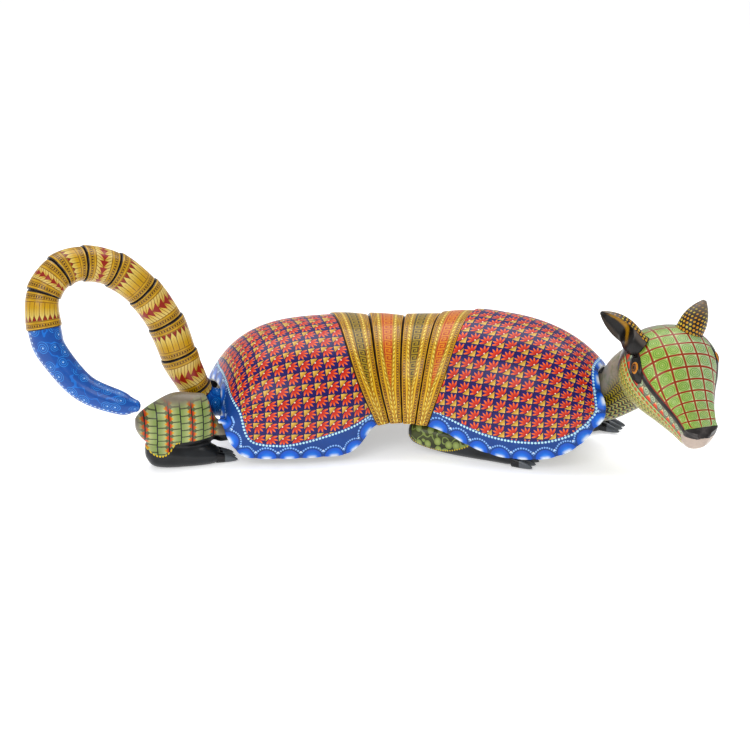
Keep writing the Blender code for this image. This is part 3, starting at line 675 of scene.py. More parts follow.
def shield_grid(end, forward, straight, rounded, columns):
    """Stations and angles of a shield: straight rows from the bands, then its rounded corners."""
    rows = np.concatenate([np.linspace(0, end["corner"], straight, endpoint=False),
                           np.linspace(end["corner"], 1, rounded)])
    p, q = np.meshgrid(rows, np.linspace(-1, 1, columns), indexing="ij")
    turn = np.clip((p - end["corner"]) / (1 - end["corner"]), 0, 1) * math.pi / 2
    reach = end["corner"] + (1 - end["corner"]) * np.sin(turn) ** (2 / CORNER_POWER)
    reach = np.where(p < end["corner"], p, reach)
    spread = np.cos(turn * 0.98) ** (2 / CORNER_POWER)
    drop = BAND_ANGLE + (end["rim"] - BAND_ANGLE) * ease(reach / end["rim_from"])
    angle = q * drop * spread
    return shield_station(end, forward, reach, angle), angle, reach


def girth(s, angle):
    """Distance over the armour from the ridge down to an angle, negative on the left."""
    steps = np.linspace(0.0, 1.0, 25)
    path = armour_point(s[..., None], angle[..., None] * steps, 0.0)
    return np.linalg.norm(np.diff(path, axis=-2), axis=-1).sum(-1) * np.sign(angle)


def flank_run(s):
    """Distance along the flank, half way down the side, from the waist to each station."""
    steps = np.linspace(-0.20, 0.20, 801)
    run = run_along(armour_point(steps, np.full(801, 60.0), 0.0))
    return np.interp(s, steps, run - np.interp(0.0, steps, run))


# ---------------------------------------------------------------- armour plates

def plate(name, outer, inner):
    """A curved plate between two matching grids of points, with a softly rounded edge."""
    rows, columns = outer.shape[:2]
    size = rows * columns
    points = np.vstack([outer.reshape(-1, 3), inner.reshape(-1, 3)])
    faces = []
    for i in range(rows - 1):
        for j in range(columns - 1):
            a, b, c, d = (i * columns + j, (i + 1) * columns + j,
                          (i + 1) * columns + j + 1, i * columns + j + 1)
            faces.append((a, b, c, d))
            faces.append((size + a, size + d, size + c, size + b))
    edge = border(rows, columns)
    for a, b in zip(edge, edge[1:] + edge[:1]):
        faces.append((a, size + a, size + b, b))
    item = new_object(name, points, faces)
    fix_normals(item)
    return item


def border(rows, columns):
    edge = [(i, 0) for i in range(rows)] + [(rows - 1, j) for j in range(1, columns)]
    edge += [(i, columns - 1) for i in range(rows - 2, -1, -1)]
    edge += [(0, j) for j in range(columns - 2, 0, -1)]
    return [i * columns + j for i, j in edge]


def armour_line(s, angle):
    """A line on the armour: its points, its directions towards the middle and distance along it."""
    points = armour_point(s, angle, 0.0)
    above = unit(armour_point(s, angle, 0.001) - points)
    length = run_along(points)
    where = np.linspace(0, length[-1], 5000)
    points = sample_at(points, length, where)
    above = unit(sample_at(above, length, where))
    inward = unit(np.cross(np.gradient(points, axis=0), above))
    inward = unit(np.stack([np.convolve(column, np.ones(61), "same") for column in inward.T], axis=1))
    facing = np.sign(((points.mean(0) - points) * inward).sum(1).mean())
    return points, inward * facing, where


def rim_line(s, angle):
    rows, columns = s.shape
    order = border(rows, columns)[:2 * rows + columns - 2]
    return armour_line(s.ravel()[order], angle.ravel()[order])


def string_line(end, forward):
    """The row of dots between the rim and the star squares, the same on both sides."""
    right = end["string"]
    left = [(reach, -angle) for reach, angle in reversed(right[:-1])]
    reach, angle = smooth_course(right + left, 400).T
    return armour_line(shield_station(end, forward, reach, angle), angle)


def nearest_place(points, line):
    """Distance of each point to a line and the index of the nearest place on it."""
    away = np.zeros(len(points))
    index = np.zeros(len(points), int)
    for start in range(0, len(points), 2000):
        part = points[start:start + 2000]
        squared = ((part ** 2).sum(1)[:, None] - 2 * part @ line.T + (line ** 2).sum(1)[None])
        index[start:start + 2000] = np.argmin(squared, axis=1)
        away[start:start + 2000] = np.sqrt(np.maximum(squared.min(axis=1), 0))
    return away, index


def make_shield(node, end, forward):
    s, angle, reach = shield_grid(end, forward, 60, 70, 191)
    step = STEP if forward else 0.0
    lip = step * np.clip(1 - reach / 0.2, 0, 1)
    depth = PLATE - (PLATE - PLATE_EDGE) * ease((reach - 0.7) / 0.3)
    outer = armour_point(s, angle, lip).reshape(-1, 3)
    rim, inward, run = rim_line(s, angle)
    away, index = nearest_place(outer, rim)
    turns = run[index] / run[-1] * round(run[-1] / SCALLOP)
    lobe = LOBE * np.abs(np.cos(math.pi * (turns - 0.5))) ** 0.6
    push = -inward[index] * (lobe * np.clip(1 - away / 0.006, 0, 1) ** 2)[:, None]
    rounding = 0.0008 * np.clip(1 - away / 0.0022, 0, 1) ** 2
    down = unit(armour_point(s, angle, -0.001) - armour_point(s, angle, 0.0)).reshape(-1, 3)
    string, towards, string_run = string_line(end, forward)
    within, place = nearest_place(outer, string)
    within = within * np.sign(((outer - string[place]) * towards[place]).sum(1))
    outer = outer + push + down * rounding[:, None]
    inner = armour_point(s, angle, -depth).reshape(-1, 3) + push * 0.6
    shape = s.shape + (3,)
    item = plate(node + "_painted", outer.reshape(shape), inner.reshape(shape))
    smooth_shade(item, 50)
    widest = np.full(s.shape, 0.09 if forward else -0.07)
    rows = (np.abs(girth(widest, angle)) / CELL).ravel()
    both = {"rows": rows, "columns": flank_run(s).ravel() / CELL + 40, "rim": away,
            "scallop": turns, "within": within, "string": string_run[place]}
    store(item, inner=np.repeat([0.0, 1.0], s.size),
          **{name: np.tile(value, 2) for name, value in both.items()})
    settle(item, node, FIGURE, shield_paint(node + "_paint", forward))


def with_underside(paint, base):
    """Adds the dark wash on the hidden side of a plate."""
    under = paint.mottled("16161c", "2c2a2c", 70.0, 3.0)
    return paint.mix(base, under, paint.read("inner").between(0.2, 0.6))


def star(paint, x, y, petals, spread):
    """A fan of pointed petals from a point, opening towards +x +y, as its mask and its distance."""
    far = distance(x, y)
    turn = paint.math("ARCTAN2", y - x, x + y)
    wave = turn / spread + 0.5
    tip = 1.0 - abs(wave.fract() - 0.5) * 2.0
    reach = 0.22 + tip.power(0.6) * 0.44
    return (far < reach) * (abs(turn) < spread * petals / 2), far, tip


def shield_paint(name, forward):
    """Small star squares inside a blue scalloped rim."""
    paint = Paint(name, 0.36, 0.16)
    rows = paint.read("rows") + paint.wobble(55.0) * 0.16
    columns = paint.read("columns") + paint.wobble(48.0) * 0.16
    x, y = columns.fract(), rows.fract()
    if forward:
        x, y = 1.0 - x, 1.0 - y
    base = paint.mottled("141066", "281260", 190.0, 1.0)
    gold = paint.mix("ecca78", "d2a050", (x + y).between(0.1, 0.6))
    base = paint.mix(base, gold, (x + y < GOLD_HALF) * (x > 0.04) * (y > 0.04))
    outline = (x + y).near(GOLD_HALF, 0.035) * (x < GOLD_HALF) * (y < GOLD_HALF)
    base = paint.mix(base, "2a1a30", outline)
    mask, far, tip = star(paint, x - STAR_AT, y - STAR_AT, 5, 0.56)
    petal = paint.mix("c41c08", "f4501a", far.between(0.10, 0.55))
    petal = paint.mix(petal, "ff9a64", (tip > 0.84) * (far > 0.36))
    base = paint.mix(base, petal, mask)
    base = paint.mix(base, "ffe9d2", disc(x - 0.36, y - 0.36, 0.060))
    lines = x.near(0.5, LINE_HALF) * y.near(0.5, LINE_HALF)
    base = paint.mix("17103a", base, lines)
    within = paint.read("within")
    base = paint.mix(base, rim_colours(paint, within), within < 0.0014)
    return paint.finish(with_underside(paint, base), mask * 0.4 + paint.noise(300.0) * 0.5, 0.00025)


def rim_colours(paint, within):
    """Deep blue with scallops, arcs of small dots and a row of dots along the pattern."""
    rim = paint.read("rim")
    across = (paint.read("scallop").fract() - 0.5) * SCALLOP
    far = distance(across, rim)
    deep = paint.mottled("03489c", "023680", 120.0)
    soft = paint.mix("6ea4fa", "1c58cc", far.between(0.0010, SCALLOP_RADIUS))
    base = paint.mix(deep, soft, far < SCALLOP_RADIUS)
    shine = (1.0 - rim.between(0.0004, 0.0030)) * (1.0 - abs(across).between(0.0010, 0.0050))
    base = paint.mix(base, "f2f8ff", shine)
    round_arc = paint.math("ARCTAN2", across, rim) * ARC_RADIUS
    dots = dotted(round_arc, ARC_DOTS, far - ARC_RADIUS, 0.00075)
    base = paint.mix(base, "9cc6ff", dots * (rim > 0.0035))
    cusp = disc(SCALLOP / 2 - abs(across), rim - 0.0056, 0.0008)
    base = paint.mix(base, "d8ecff", cusp)
    return paint.mix(base, "c9f2ff", dotted(paint.read("string"), RIM_DOTS, within, RIM_DOT))


def make_band(k):
    p, q = np.meshgrid(np.linspace(0, 1, 25), np.linspace(-1, 1, 221), indexing="ij")
    angle = q * BAND_ANGLE
    low, high = band_edge(k, angle) + GAP, band_edge(k + 1, angle) - GAP
    s = low + (high - low) * p
    width = high - low
    edge = np.minimum(p, 1 - p) * width
    crown = 0.0005 * np.sin(math.pi * p) - 0.0012 * np.clip(1 - edge / 0.0014, 0, 1) ** 2
    outer = armour_point(s, angle, STEP * (1 - p) + crown)
    inner = armour_point(s, angle, -PLATE)
    item = plate(f"band_{k + 1}_painted", outer, inner)
    smooth_shade(item, 50)
    both = {"across": (p - 0.5) * width, "half": width / 2, "fan": np.abs(fan(angle)),
            "down": girth(s, angle) + 1.0}
    store(item, inner=np.repeat([0.0, 1.0], s.size),
          **{name: np.tile(value.ravel(), 2) for name, value in both.items()})
    settle(item, f"band_{k + 1}", FIGURE, band_paint(f"band_{k + 1}_paint", k % 2 == 0))


def greek_key(x, y):
    """One turn of a plain meander; x and y run from 0 to 1 over it."""
    strokes = ((0.10, 0.90, 0.04, 0.16), (0.78, 0.90, 0.04, 0.80), (0.34, 0.90, 0.68, 0.80),
               (0.34, 0.46, 0.36, 0.80), (0.34, 0.64, 0.36, 0.48), (0.10, 0.22, 0.04, 1.00))
    mask = box(x, y, *strokes[0])
    for stroke in strokes[1:]:
        mask = mask.most(box(x, y, *stroke))
    return mask


def band_paint(name, olive):
    """Gold stripes, dotted edge lines and ropes on either side of a tapering key panel."""
    paint = Paint(name, 0.36, 0.25)
    across, half, down = (paint.read(n) for n in ("across", "half", "down"))
    off = abs(across)
    edge = half - off
    panel = (PANEL - paint.read("fan") * 0.0125).most(0.0)
    streak = paint.noise(1.0, 2.0, paint.combine(off * 900.0, down * 60.0))
    base = paint.mix("b87a10", "eeb832", streak.between(0.32, 0.68))
    base = paint.mix(base, "f0cc62", edge.near(0.0058, 0.0005) * 0.8)
    for place in (0.0020, 0.0044):
        base = paint.mix(base, "4a2c10", edge.near(place, 0.00024))
    dots = dotted(down, BAND_DOTS, edge - 0.0032, BAND_DOT)
    base = paint.mix(base, "43240e", dots)
    rope = off - panel - 0.0017
    twist = ((down + rope * 1.1) / ROPE_TWIST).fract()
    strand = paint.mix("fbe27a", "b07a18", twist.between(0.45, 0.75))
    base = paint.mix(base, strand, abs(rope) < 0.00072)
    base = paint.mix(base, "6a4414", abs(rope).near(0.0010, 0.00016))
    ground = "a5882c" if olive else "e08c34"
    strokes = "3a2a0c" if olive else "b83c14"
    key = greek_key(across / 0.0100 + 0.5, (down / KEY).fract())
    inside = paint.mix(ground, strokes, key)
    edging = paint.mix(inside, "8a5c18", abs(off - panel) < 0.0003)
    base = paint.mix(base, edging, off < panel)
    base = paint.mix(base, "4c3a2c", edge < 0.0008)
    return paint.finish(with_underside(paint, base), streak * 0.6 - dots)


# ---------------------------------------------------------------- tail

def front_end():
    return body_point(FRONT["end"], 0.0, 0.0)


class Course:
    """A smooth course through space that carries round sections."""

    def __init__(self, points, origin):
        rows = np.array(points, float)
        rows[:, :3] += origin
        self.rows = smooth_course(rows, 400)
        self.length = run_along(self.rows[:, :3])
        self.tangents = unit(np.gradient(self.rows[:, :3], axis=0))
        side = np.cross(self.tangents[0], (0, 0, 1.0))
        sides = []
        for tangent in self.tangents:
            side = unit(side - tangent * np.dot(side, tangent))
            sides.append(side)
        self.sides = np.array(sides)

    def frame(self, where):
        centre = sample_at(self.rows, self.length, where)
        tangent = unit(sample_at(self.tangents, self.length, where))
        side = unit(sample_at(self.sides, self.length, where))
        return centre, tangent, side, np.cross(side, tangent)

    def ring(self, where, wide, high, count=96):
        centre, _, side, up = self.frame(where)
        turn = np.linspace(0, 2 * math.pi, count, endpoint=False)[:, None]
        return centre[:3] + side * np.cos(turn) * wide + up * np.sin(turn) * high

    def measure(self, points):
        """Distance along the course and direction round it (radians) of points near it."""
        away = ((points[:, None, :] - self.rows[None, :, :3]) ** 2).sum(-1)
        nearest = np.argmin(away, axis=1)
        offset = points - self.rows[nearest, :3]
        extra = (offset * self.tangents[nearest]).sum(1)
        up = np.cross(self.sides[nearest], self.tangents[nearest])
        turn = np.arctan2((offset * up).sum(1), (offset * self.sides[nearest]).sum(1))
        return self.length[nearest] + extra, turn


def store_round(item, course, start, end):
    """Places on a round piece: from its near and far edge, and round it as cosine and sine."""
    where, turn = course.measure(points_of(item))
    store(item, along=where - start, rest=end - where, cosine=np.cos(turn), sine=np.sin(turn))


def block_end(end, forward):
    """Middle and outward direction of a flat end of the body block."""
    s = (end["end"] - BLOCK_SHORT) * (1 if forward else -1)
    angle = float(heading(s))
    ahead = np.array([math.cos(angle), -math.sin(angle), 0.0])
    return body_point(s, 0.0, 0.0), ahead if forward else -ahead


def peg_tool(course, name):
    centre, tangent, _, _ = course.frame(TAIL_STUB)
    return peg_hole(name, centre[:3], tangent, TAIL_PEG_SIDE, TAIL_PEG_LENGTH)


def tail_radius(course, where):
    return float(course.frame(where)[0][3])


def make_tail():
    course = Course(TAIL_COURSE, body_point(TAIL_STATION, 0.0, 0.0))
    blue = blue_paint("tail_blue_paint")
    leaf_paints = [gold_paint(f"tail_gold_paint_{k + 1}", k % 2 == 0) for k in range(2)]
    stub = loft("tail_stub_painted", [course.ring(w, tail_radius(course, w), tail_radius(course, w))
                                      for w in np.linspace(0, TAIL_STUB, 40)])
    point, outward = block_end(REAR, False)
    split(stub, point + outward * GAP, outward)
    cut(stub, [peg_tool(course, "stub_hole")])
    smooth_shade(stub)
    store_round(stub, course, 0.0, TAIL_STUB + 0.1)
    settle(stub, "tail_stub", FIGURE, blue)
    start = TAIL_STUB + GAP
    for k, end in enumerate(RING_ENDS):
        ring = tail_ring(course, k, start, end)
        settle(ring, f"tail_ring_{k + 1}", TAIL, leaf_paints[k % 2])
        start = end
    tip_rings = [course.ring(w, tail_radius(course, w), tail_radius(course, w))
                 for w in np.linspace(start, course.length[-1], 60)]
    tangent = course.frame(course.length[-1])[1]
    size = tail_radius(course, course.length[-1])
    for turn in np.linspace(0, math.pi / 2, 9)[1:]:
        small = size * max(math.cos(turn), 0.03)
        ahead = tangent * TAIL_CAP * math.sin(turn)
        tip_rings.append(course.ring(course.length[-1], small, small) + ahead)
    tip = loft("tail_tip_painted", tip_rings)
    smooth_shade(tip)
    store_round(tip, course, start, course.length[-1] + 0.1)
    settle(tip, "tail_tip", TAIL, blue)


def tail_ring(course, k, start, end):
    """One ring: it swells towards the tip and ends in a small step over the next."""
    rings = []
    for t in np.linspace(0, 1, 26):
        where = start + (end - GAP - start) * t
        edge = min(where - start, end - GAP - where)
        rounding = RING_ROUNDING * max(0, 1 - edge / (2 * RING_ROUNDING)) ** 2
        size = tail_radius(course, where) + RING_STEP * t ** 1.5 - rounding
        rings.append(course.ring(where, size, size))
    item = loft(f"tail_ring_{k + 1}_painted", rings)
    if k < 2:
        cut(item, [peg_tool(course, "ring_hole")])
    smooth_shade(item)
    store_round(item, course, start, end)
    return item


def round_turns(paint):
    """Turns round a round piece, from 0 to 1, with its seam on the far side."""
    return paint.math("ARCTAN2", paint.read("sine"), paint.read("cosine")) / (2 * math.pi) + 0.5


def gold_paint(name, leaves):
    """A tail ring: gold with dotted lines at both edges and a belt of leaves or arrowheads."""
    paint = Paint(name, 0.36, 0.25)
    along_ring, rest, turns = paint.read("along"), paint.read("rest"), round_turns(paint)
    edge = along_ring.least(rest)
    total = along_ring + rest
    belt = (along_ring - BELT_AT) / (total - 2 * BELT_AT)
    streak = paint.noise(1.0, 2.0, paint.combine(turns * 12.0, edge * 900.0))
    base = paint.mix("b08834", "d4a950", streak.between(0.3, 0.7))
    for place in (0.0022, 0.0044, 0.0064):
        base = paint.mix(base, "6c4518", edge.near(place, 0.00022))
    round_length = turns * TAIL_GIRTH
    dots = dotted(round_length, BAND_DOTS, edge - 0.0033, BAND_DOT)
    base = paint.mix(base, "4a260e", dots)
    count = LEAVES if leaves else LEAVES * 0.8
    x = (turns * count + belt * (0.18 if leaves else 0.0)).fract() - 0.5
    if leaves:
        motif = leaf_belt(paint, x, belt)
    else:
        motif = arrow_belt(paint, (turns * count).fract(), belt)
    base = paint.mix(base, motif, belt.near(0.5, 0.5))
    base = paint.mix(base, "2f2522", edge < 0.0009)
    return paint.finish(base, streak * 0.6 - dots)


def leaf_belt(paint, x, belt):
    """Long pale leaves side by side, with dark red between their tips."""
    wide = 0.47 - belt.between(0.62, 1.06) * 0.42
    ground = paint.mix("a8741e", "8c2c1a", belt.between(0.50, 0.66))
    leaf = paint.mix("c89a34", "e0c878", belt.between(0.0, 0.9))
    base = paint.mix(ground, "4c2a10", abs(x) < wide + 0.05)
    base = paint.mix(base, leaf, abs(x) < wide - 0.02)
    return paint.mix(base, "b98a34", (abs(x) < 0.03) * (belt < 0.7))


def arrow_belt(paint, x, belt):
    """A chain of red arrowheads with pale leaves slanting off both sides."""
    off = abs(belt - 0.5) * 2.0
    slant = (x + off * 0.75).fract()
    leaf = paint.mix("d2ac50", "e0c880", off)
    base = paint.mix(leaf, "5c3512", slant.near(0.5, 0.045))
    base = paint.mix(base, "8e5c1c", slant.near(0.0, 0.05).most(slant.near(1.0, 0.05)))
    return paint.mix(base, "94281c", (off < (1.0 - x) * 0.60).most(off < 0.05))


def blue_paint(name):
    """Deep blue with lighter spirals, wave lines and rows of dots."""
    paint = Paint(name, 0.30, 0.3)
    flat_x, flat_y = paint.read("along"), round_turns(paint) * 0.075
    _, centre = paint.cells(paint.combine(flat_x, flat_y), 85.0, 0.6)
    centre_x, centre_y, _ = paint.parts(centre)
    x, y = flat_x - centre_x, flat_y - centre_y
    far = distance(x, y)
    turn = paint.math("ARCTAN2", y, x) / (2 * math.pi)
    base = paint.mottled("0656b4", "044292", 90.0, 3.0)
    wave = (paint.noise(70.0, 1.0) * 5.0).fract()
    base = paint.mix(base, "2f74d0", wave.near(0.5, 0.06) * (far > SPIRAL_RADIUS))
    spiral = (far / SPIRAL_TURN - turn).fract()
    base = paint.mix(base, "5a98e4", spiral.near(0.5, 0.15) * (far < SPIRAL_RADIUS))
    base = paint.mix(base, "b4d8ff", far < 0.0006)
    for gap, at in ((0.0024, 0.021), (0.0032, 0.056)):
        base = paint.mix(base, "d6ecff", dotted(flat_x, gap, flat_y - at, 0.0007))
    return paint.finish(base, spiral * 0.3 + paint.noise(300.0) * 0.6)


# ---------------------------------------------------------------- head

def head_matrix():
    turn = Matrix.Rotation(math.radians(-HEAD_TURN), 4, "Z")
    nod = Matrix.Rotation(math.radians(HEAD_NOD), 4, "Y")
    tilt = Matrix.Rotation(math.radians(HEAD_TILT), 4, "X")
    return Matrix.Translation(Vector(front_end() + HEAD_AT)) @ turn @ nod @ tilt


HEAD_PLACE = head_matrix()


def head_surface(x, turn):
    """Points of the skull at stations x and angles round it (0 left, 90 up, 180 right)."""
    row = smooth_profile(HEAD_STATIONS, np.ravel(x)).reshape(np.shape(x) + (4,))
    cosine, sine = np.cos(np.radians(turn)), np.sin(np.radians(turn))
    y = row[..., 1] * np.sign(cosine) * np.abs(cosine) ** 0.85
    z = np.where(sine > 0, row[..., 2], -row[..., 3]) * np.abs(sine) ** 0.9 * np.sign(sine)
    return np.stack([np.broadcast_to(x, y.shape), y, z], axis=-1)


def head_places(points):
    """Station and angle round the head of points near its surface."""
    row = smooth_profile(HEAD_STATIONS, points[:, 0])
    sideways = np.sign(points[:, 1]) * np.abs(points[:, 1] / row[:, 1]) ** (1 / 0.85)
    tall = np.where(points[:, 2] > 0, np.abs(row[:, 2]) + 1e-4, -row[:, 3])
    upward = np.sign(points[:, 2]) * np.abs(points[:, 2] / tall) ** (1 / 0.9)
    turn = np.degrees(np.arctan2(upward, sideways))
    return points[:, 0], np.where(turn < -90, turn + 360, turn)


def head_arc(x, turn):
    """Distance over the head from its midline, positive on the right."""
    steps = np.linspace(0, 1, 25)
    path = head_surface(x[:, None] * np.ones(25), 90 + (turn - 90)[:, None] * steps)
    length = np.linalg.norm(np.diff(path, axis=1), axis=-1).sum(1)
    return length * np.sign(turn - 90)


def mask_edge(x):
    """Distance from the midline at which the green squares end."""
    return 0.0270 + 0.0065 * ease((x - 0.008) / 0.028) - 0.0195 * ease((x - 0.034) / 0.054)


def square_rows(x):
    """Rows of squares along the head, shorter towards the snout."""
    steps = np.linspace(-0.02, 0.10, 400)
    size = 0.0098 - 0.0036 * ease((steps - 0.030) / 0.050)
    count = np.concatenate([[0], np.cumsum((steps[1] - steps[0]) / size[1:])])
    return np.interp(x, steps, count) + 0.32


def carve_face(points):
    """Sets the eyes in almond hollows and the mouth line in a shallow groove."""
    x, turn = head_places(points)
    arc = head_arc(x, turn)
    below = np.abs(arc) - mask_edge(x)
    down = below - EYE_BELOW
    ahead = x - EYE_X
    almond = np.sqrt((ahead / 0.0085) ** 2 + ((down - 0.10 * ahead) / 0.0050) ** 2)
    ball = np.sqrt(ahead ** 2 + down ** 2) / EYE_RING
    depth = -0.0012 * np.exp(-((almond - 1.0) / 0.22) ** 2)
    depth += 0.0012 * np.sqrt(np.clip(1 - ball ** 2, 0, 1))
    mouth = np.clip((x - 0.030) / 0.01, 0, 1)
    depth -= 0.0006 * mouth * np.exp(-((below - 0.0121) / 0.0008) ** 2)
    depth -= 0.0007 * np.exp(-((below - 0.0002) / 0.0010) ** 2) * np.clip((x - 0.02) / 0.02, 0, 1)
    nostril = np.sqrt(((x - 0.0885) / 0.0016) ** 2 + ((np.abs(arc) - 0.0065) / 0.0013) ** 2)
    depth -= 0.0012 * np.exp(-nostril ** 2)
    centre = np.stack([points[:, 0], points[:, 1] * 0, points[:, 2] * 0 - 0.004], axis=1)
    return points + unit(points - centre) * depth[:, None]


def make_head():
    x = np.linspace(HEAD_STATIONS[0][0], HEAD_STATIONS[-1][0], 190)
    turn = np.linspace(-90, 270, 240, endpoint=False)
    rings = [head_surface(np.full(turn.shape, place), turn) for place in x]
    head = loft("head_painted", [carve_face(ring) for ring in rings])
    head.data.transform(HEAD_PLACE)
    facing = unit(NECK_SEAM_FACING)
    split(head, front_end() + NECK_SEAM_AT + facing * GAP, facing)
    tools = []
    for label in EARS:
        root, point, _ = ear_axes(label)
        direction = HEAD_PLACE.to_3x3() @ point
        seat = loft(f"seat_{label}", [ear_ring(label, row) for row in EAR_SEAT])
        seat.data.transform(HEAD_PLACE)
        tools.append(seat)
        tools.append(peg_hole(f"peg_hole_{label}", HEAD_PLACE @ root, direction,
                              EAR_PEG_SIDE, EAR_PEG_LENGTH))
    cut(head, tools)
    smooth_shade(head, 35)
    local = points_of(head) @ np.array(HEAD_PLACE.inverted().to_3x3()).T
    local += np.array(HEAD_PLACE.inverted().translation)
    x, turn = head_places(local)
    arc = head_arc(x, turn)
    side_step = 0.0118 - 0.0030 * ease((x - 0.045) / 0.045)
    seats = np.full(len(x), 9.0)
    for label in EARS:
        root, point, _ = ear_axes(label)
        offset = local - np.array(root)
        reach = offset @ np.array(point)
        out = np.linalg.norm(offset - reach[:, None] * np.array(point), axis=1)
        seats = np.where(reach > -0.001, np.minimum(seats, out), seats)
    store(head, place=x, rows=square_rows(x), columns=arc / side_step,
          below=np.abs(arc) - mask_edge(x), height=local[:, 2], seat=seats)
    settle(head, "head", FIGURE, head_paint())


def head_paint():
    """Green squares on the mask, a black stripe through the eyes, and belts of dots on the jaw."""
    paint = Paint("head_paint", 0.34, 0.25)
    place, below = paint.read("place"), paint.read("below")
    rows = paint.read("rows") + paint.wobble(40.0) * 0.12
    columns = paint.read("columns") + paint.wobble(45.0) * 0.12 + 40.0
    x, y = columns.fract() - 0.5, rows.fract() - 0.5
    far = distance(x, y)
    # painted light: the squares turn paler grey-green towards the head's left side and brighter green
    # towards its right, as the light falls on it
    base = paint.mix("b4c6a0", "a2bc62", paint.read("columns").between(-2.2, 1.6))
    base = paint.mix(base, "c4cc84", paint.noise(70.0).between(0.50, 0.75) * 0.7)
    rings = (far / 0.135).fract()
    base = paint.mix(base, "6c9a44", rings.near(0.5, 0.20) * (far < 0.42))
    base = paint.mix(base, "c8d488", far < 0.05)
    glint = disc(abs(x) - 0.37, abs(y) - 0.37, 0.035)
    base = paint.mix(base, "e6f0c8", glint)
    lines = abs(x).near(0.0, 0.435) * abs(y).near(0.0, 0.425)
    base = paint.mix("9a3a2a", base, lines)
    base = paint.mix(base, "9a3a2a", below.near(0.0, 0.0007) * (place < 0.085))
    base = paint.mix(base, cheek_colours(paint, place, below), below > 0.0006)
    base = eye_colours(paint, base, place, below)
    base = snout_colours(paint, base, place)
    # a grey-brown wash in patches towards the back of the head
    grey_wash = paint.noise(75.0, 3.0)
    crown = place.between(0.012, -0.004) * grey_wash.between(0.30, 0.55)
    base = paint.mix(base, "8c857a", crown.most(place.between(0.003, -0.003)))
    # painted shade: the socket round each ear's root is painted dark brown
    base = paint.mix(base, "2a2420", paint.read("seat") < 0.0094)
    return paint.finish(base, lines * 0.7 + rings * 0.25, 0.0004)


def cheek_colours(paint, place, below):
    """The stripe, the belt of circles and triangles, and the jaw under them."""
    black = paint.mix("191614", "3b3733", paint.noise(150.0).between(0.4, 0.8))
    x = middled(place, CIRCLE_GAP)
    belt = paint.mottled("5d5a48", "8d9178", 140.0)
    for tone, radius in (("b4c4a0", 0.0021), ("5f6b52", 0.0012), ("c8d4b4", 0.0006)):
        belt = paint.mix(belt, tone, disc(x, below - 0.0060, radius))
    shift = middled(place + CIRCLE_GAP / 2, CIRCLE_GAP)
    spike = abs(shift) < (below - 0.0056) * 0.42
    fire = paint.mix("f0d8a8", "e0401a", below.between(0.0066, 0.0092))
    belt = paint.mix(belt, fire, spike * below.near(0.0088, 0.0030))
    base = paint.mix(black, belt, below > 0.0036)
    base = paint.mix(base, "1d1a12", below.near(0.0121, 0.0005))
    base = paint.mix(base, jaw_colours(paint, place, below), below > 0.0126)
    return paint.mix(base, "1c1511", place.between(0.020, 0.012))


def jaw_colours(paint, place, below):
    """Pale green with a row of red dots, then slanting leaves down to the throat."""
    base = paint.mottled("a8b870", "c3c98c", 120.0)
    for tone, radius in (("7d8c48", 0.0016), ("d84a20", 0.0011)):
        base = paint.mix(base, tone, dotted(place, JAW_DOTS, below - 0.0150, radius))
    row = (below / 0.0052).fract() - 0.5
    slant = (place / 0.0026 + abs(row) * 1.3).fract()
    leaf = paint.mix("c9cf7c", "94a048", slant.between(0.2, 0.9))
    leaf = paint.mix(leaf, "33301a", slant.near(0.5, 0.10))
    leaf = paint.mix(leaf, "c8642a", abs(row).near(0.0, 0.07))
    leaf = paint.mix(leaf, "2e2b18", abs(row).near(0.5, 0.05))
    return paint.mix(base, leaf, below > 0.0178)


def eye_colours(paint, base, place, below):
    ahead, down = place - EYE_X, below - EYE_BELOW
    base = paint.mix(base, "161210", disc(ahead / 0.0100, (down - ahead * 0.1) / 0.0062, 1.0))
    far = distance(ahead, down)
    ring = paint.mix("8e4a1c", "d8924a", far.between(0.0022, 0.0030))
    base = paint.mix(base, ring, far < EYE_RING)
    base = paint.mix(base, "140f0c", far < 0.0021)
    return paint.mix(base, "8c5a2c", far.near(0.0013, 0.00022))


def snout_colours(paint, base, place):
    """The dark nose band, with a greyer chin below it."""
    height = paint.read("height")
    nose = place > NOSE_AT
    dark = paint.mix("242120", "4a4543", paint.noise(170.0).between(0.4, 0.8))
    base = paint.mix(base, dark, nose * (height > LIP_HEIGHT))
    chin = paint.mottled("b3a296", "d0bfb2", 110.0)
    return paint.mix(base, chin, (place > 0.0830) * (height < LIP_HEIGHT))


# ---------------------------------------------------------------- neck

def make_neck():
    course = Course(NECK_COURSE, front_end())
    rings = []
    for where in np.linspace(0, course.length[-1], 70):
        centre = course.frame(where)[0]
        rings.append(course.ring(where, centre[3], centre[4], 120))
    neck = loft("neck_painted", rings)
    facing = unit(NECK_SEAM_FACING)
    split(neck, front_end() + NECK_SEAM_AT, -facing)
    point, outward = block_end(FRONT, True)
    split(neck, point + outward * GAP, outward)
    smooth_shade(neck, 35)
    store_round(neck, course, 0.0, course.length[-1])
    settle(neck, "neck", FIGURE, neck_paint())


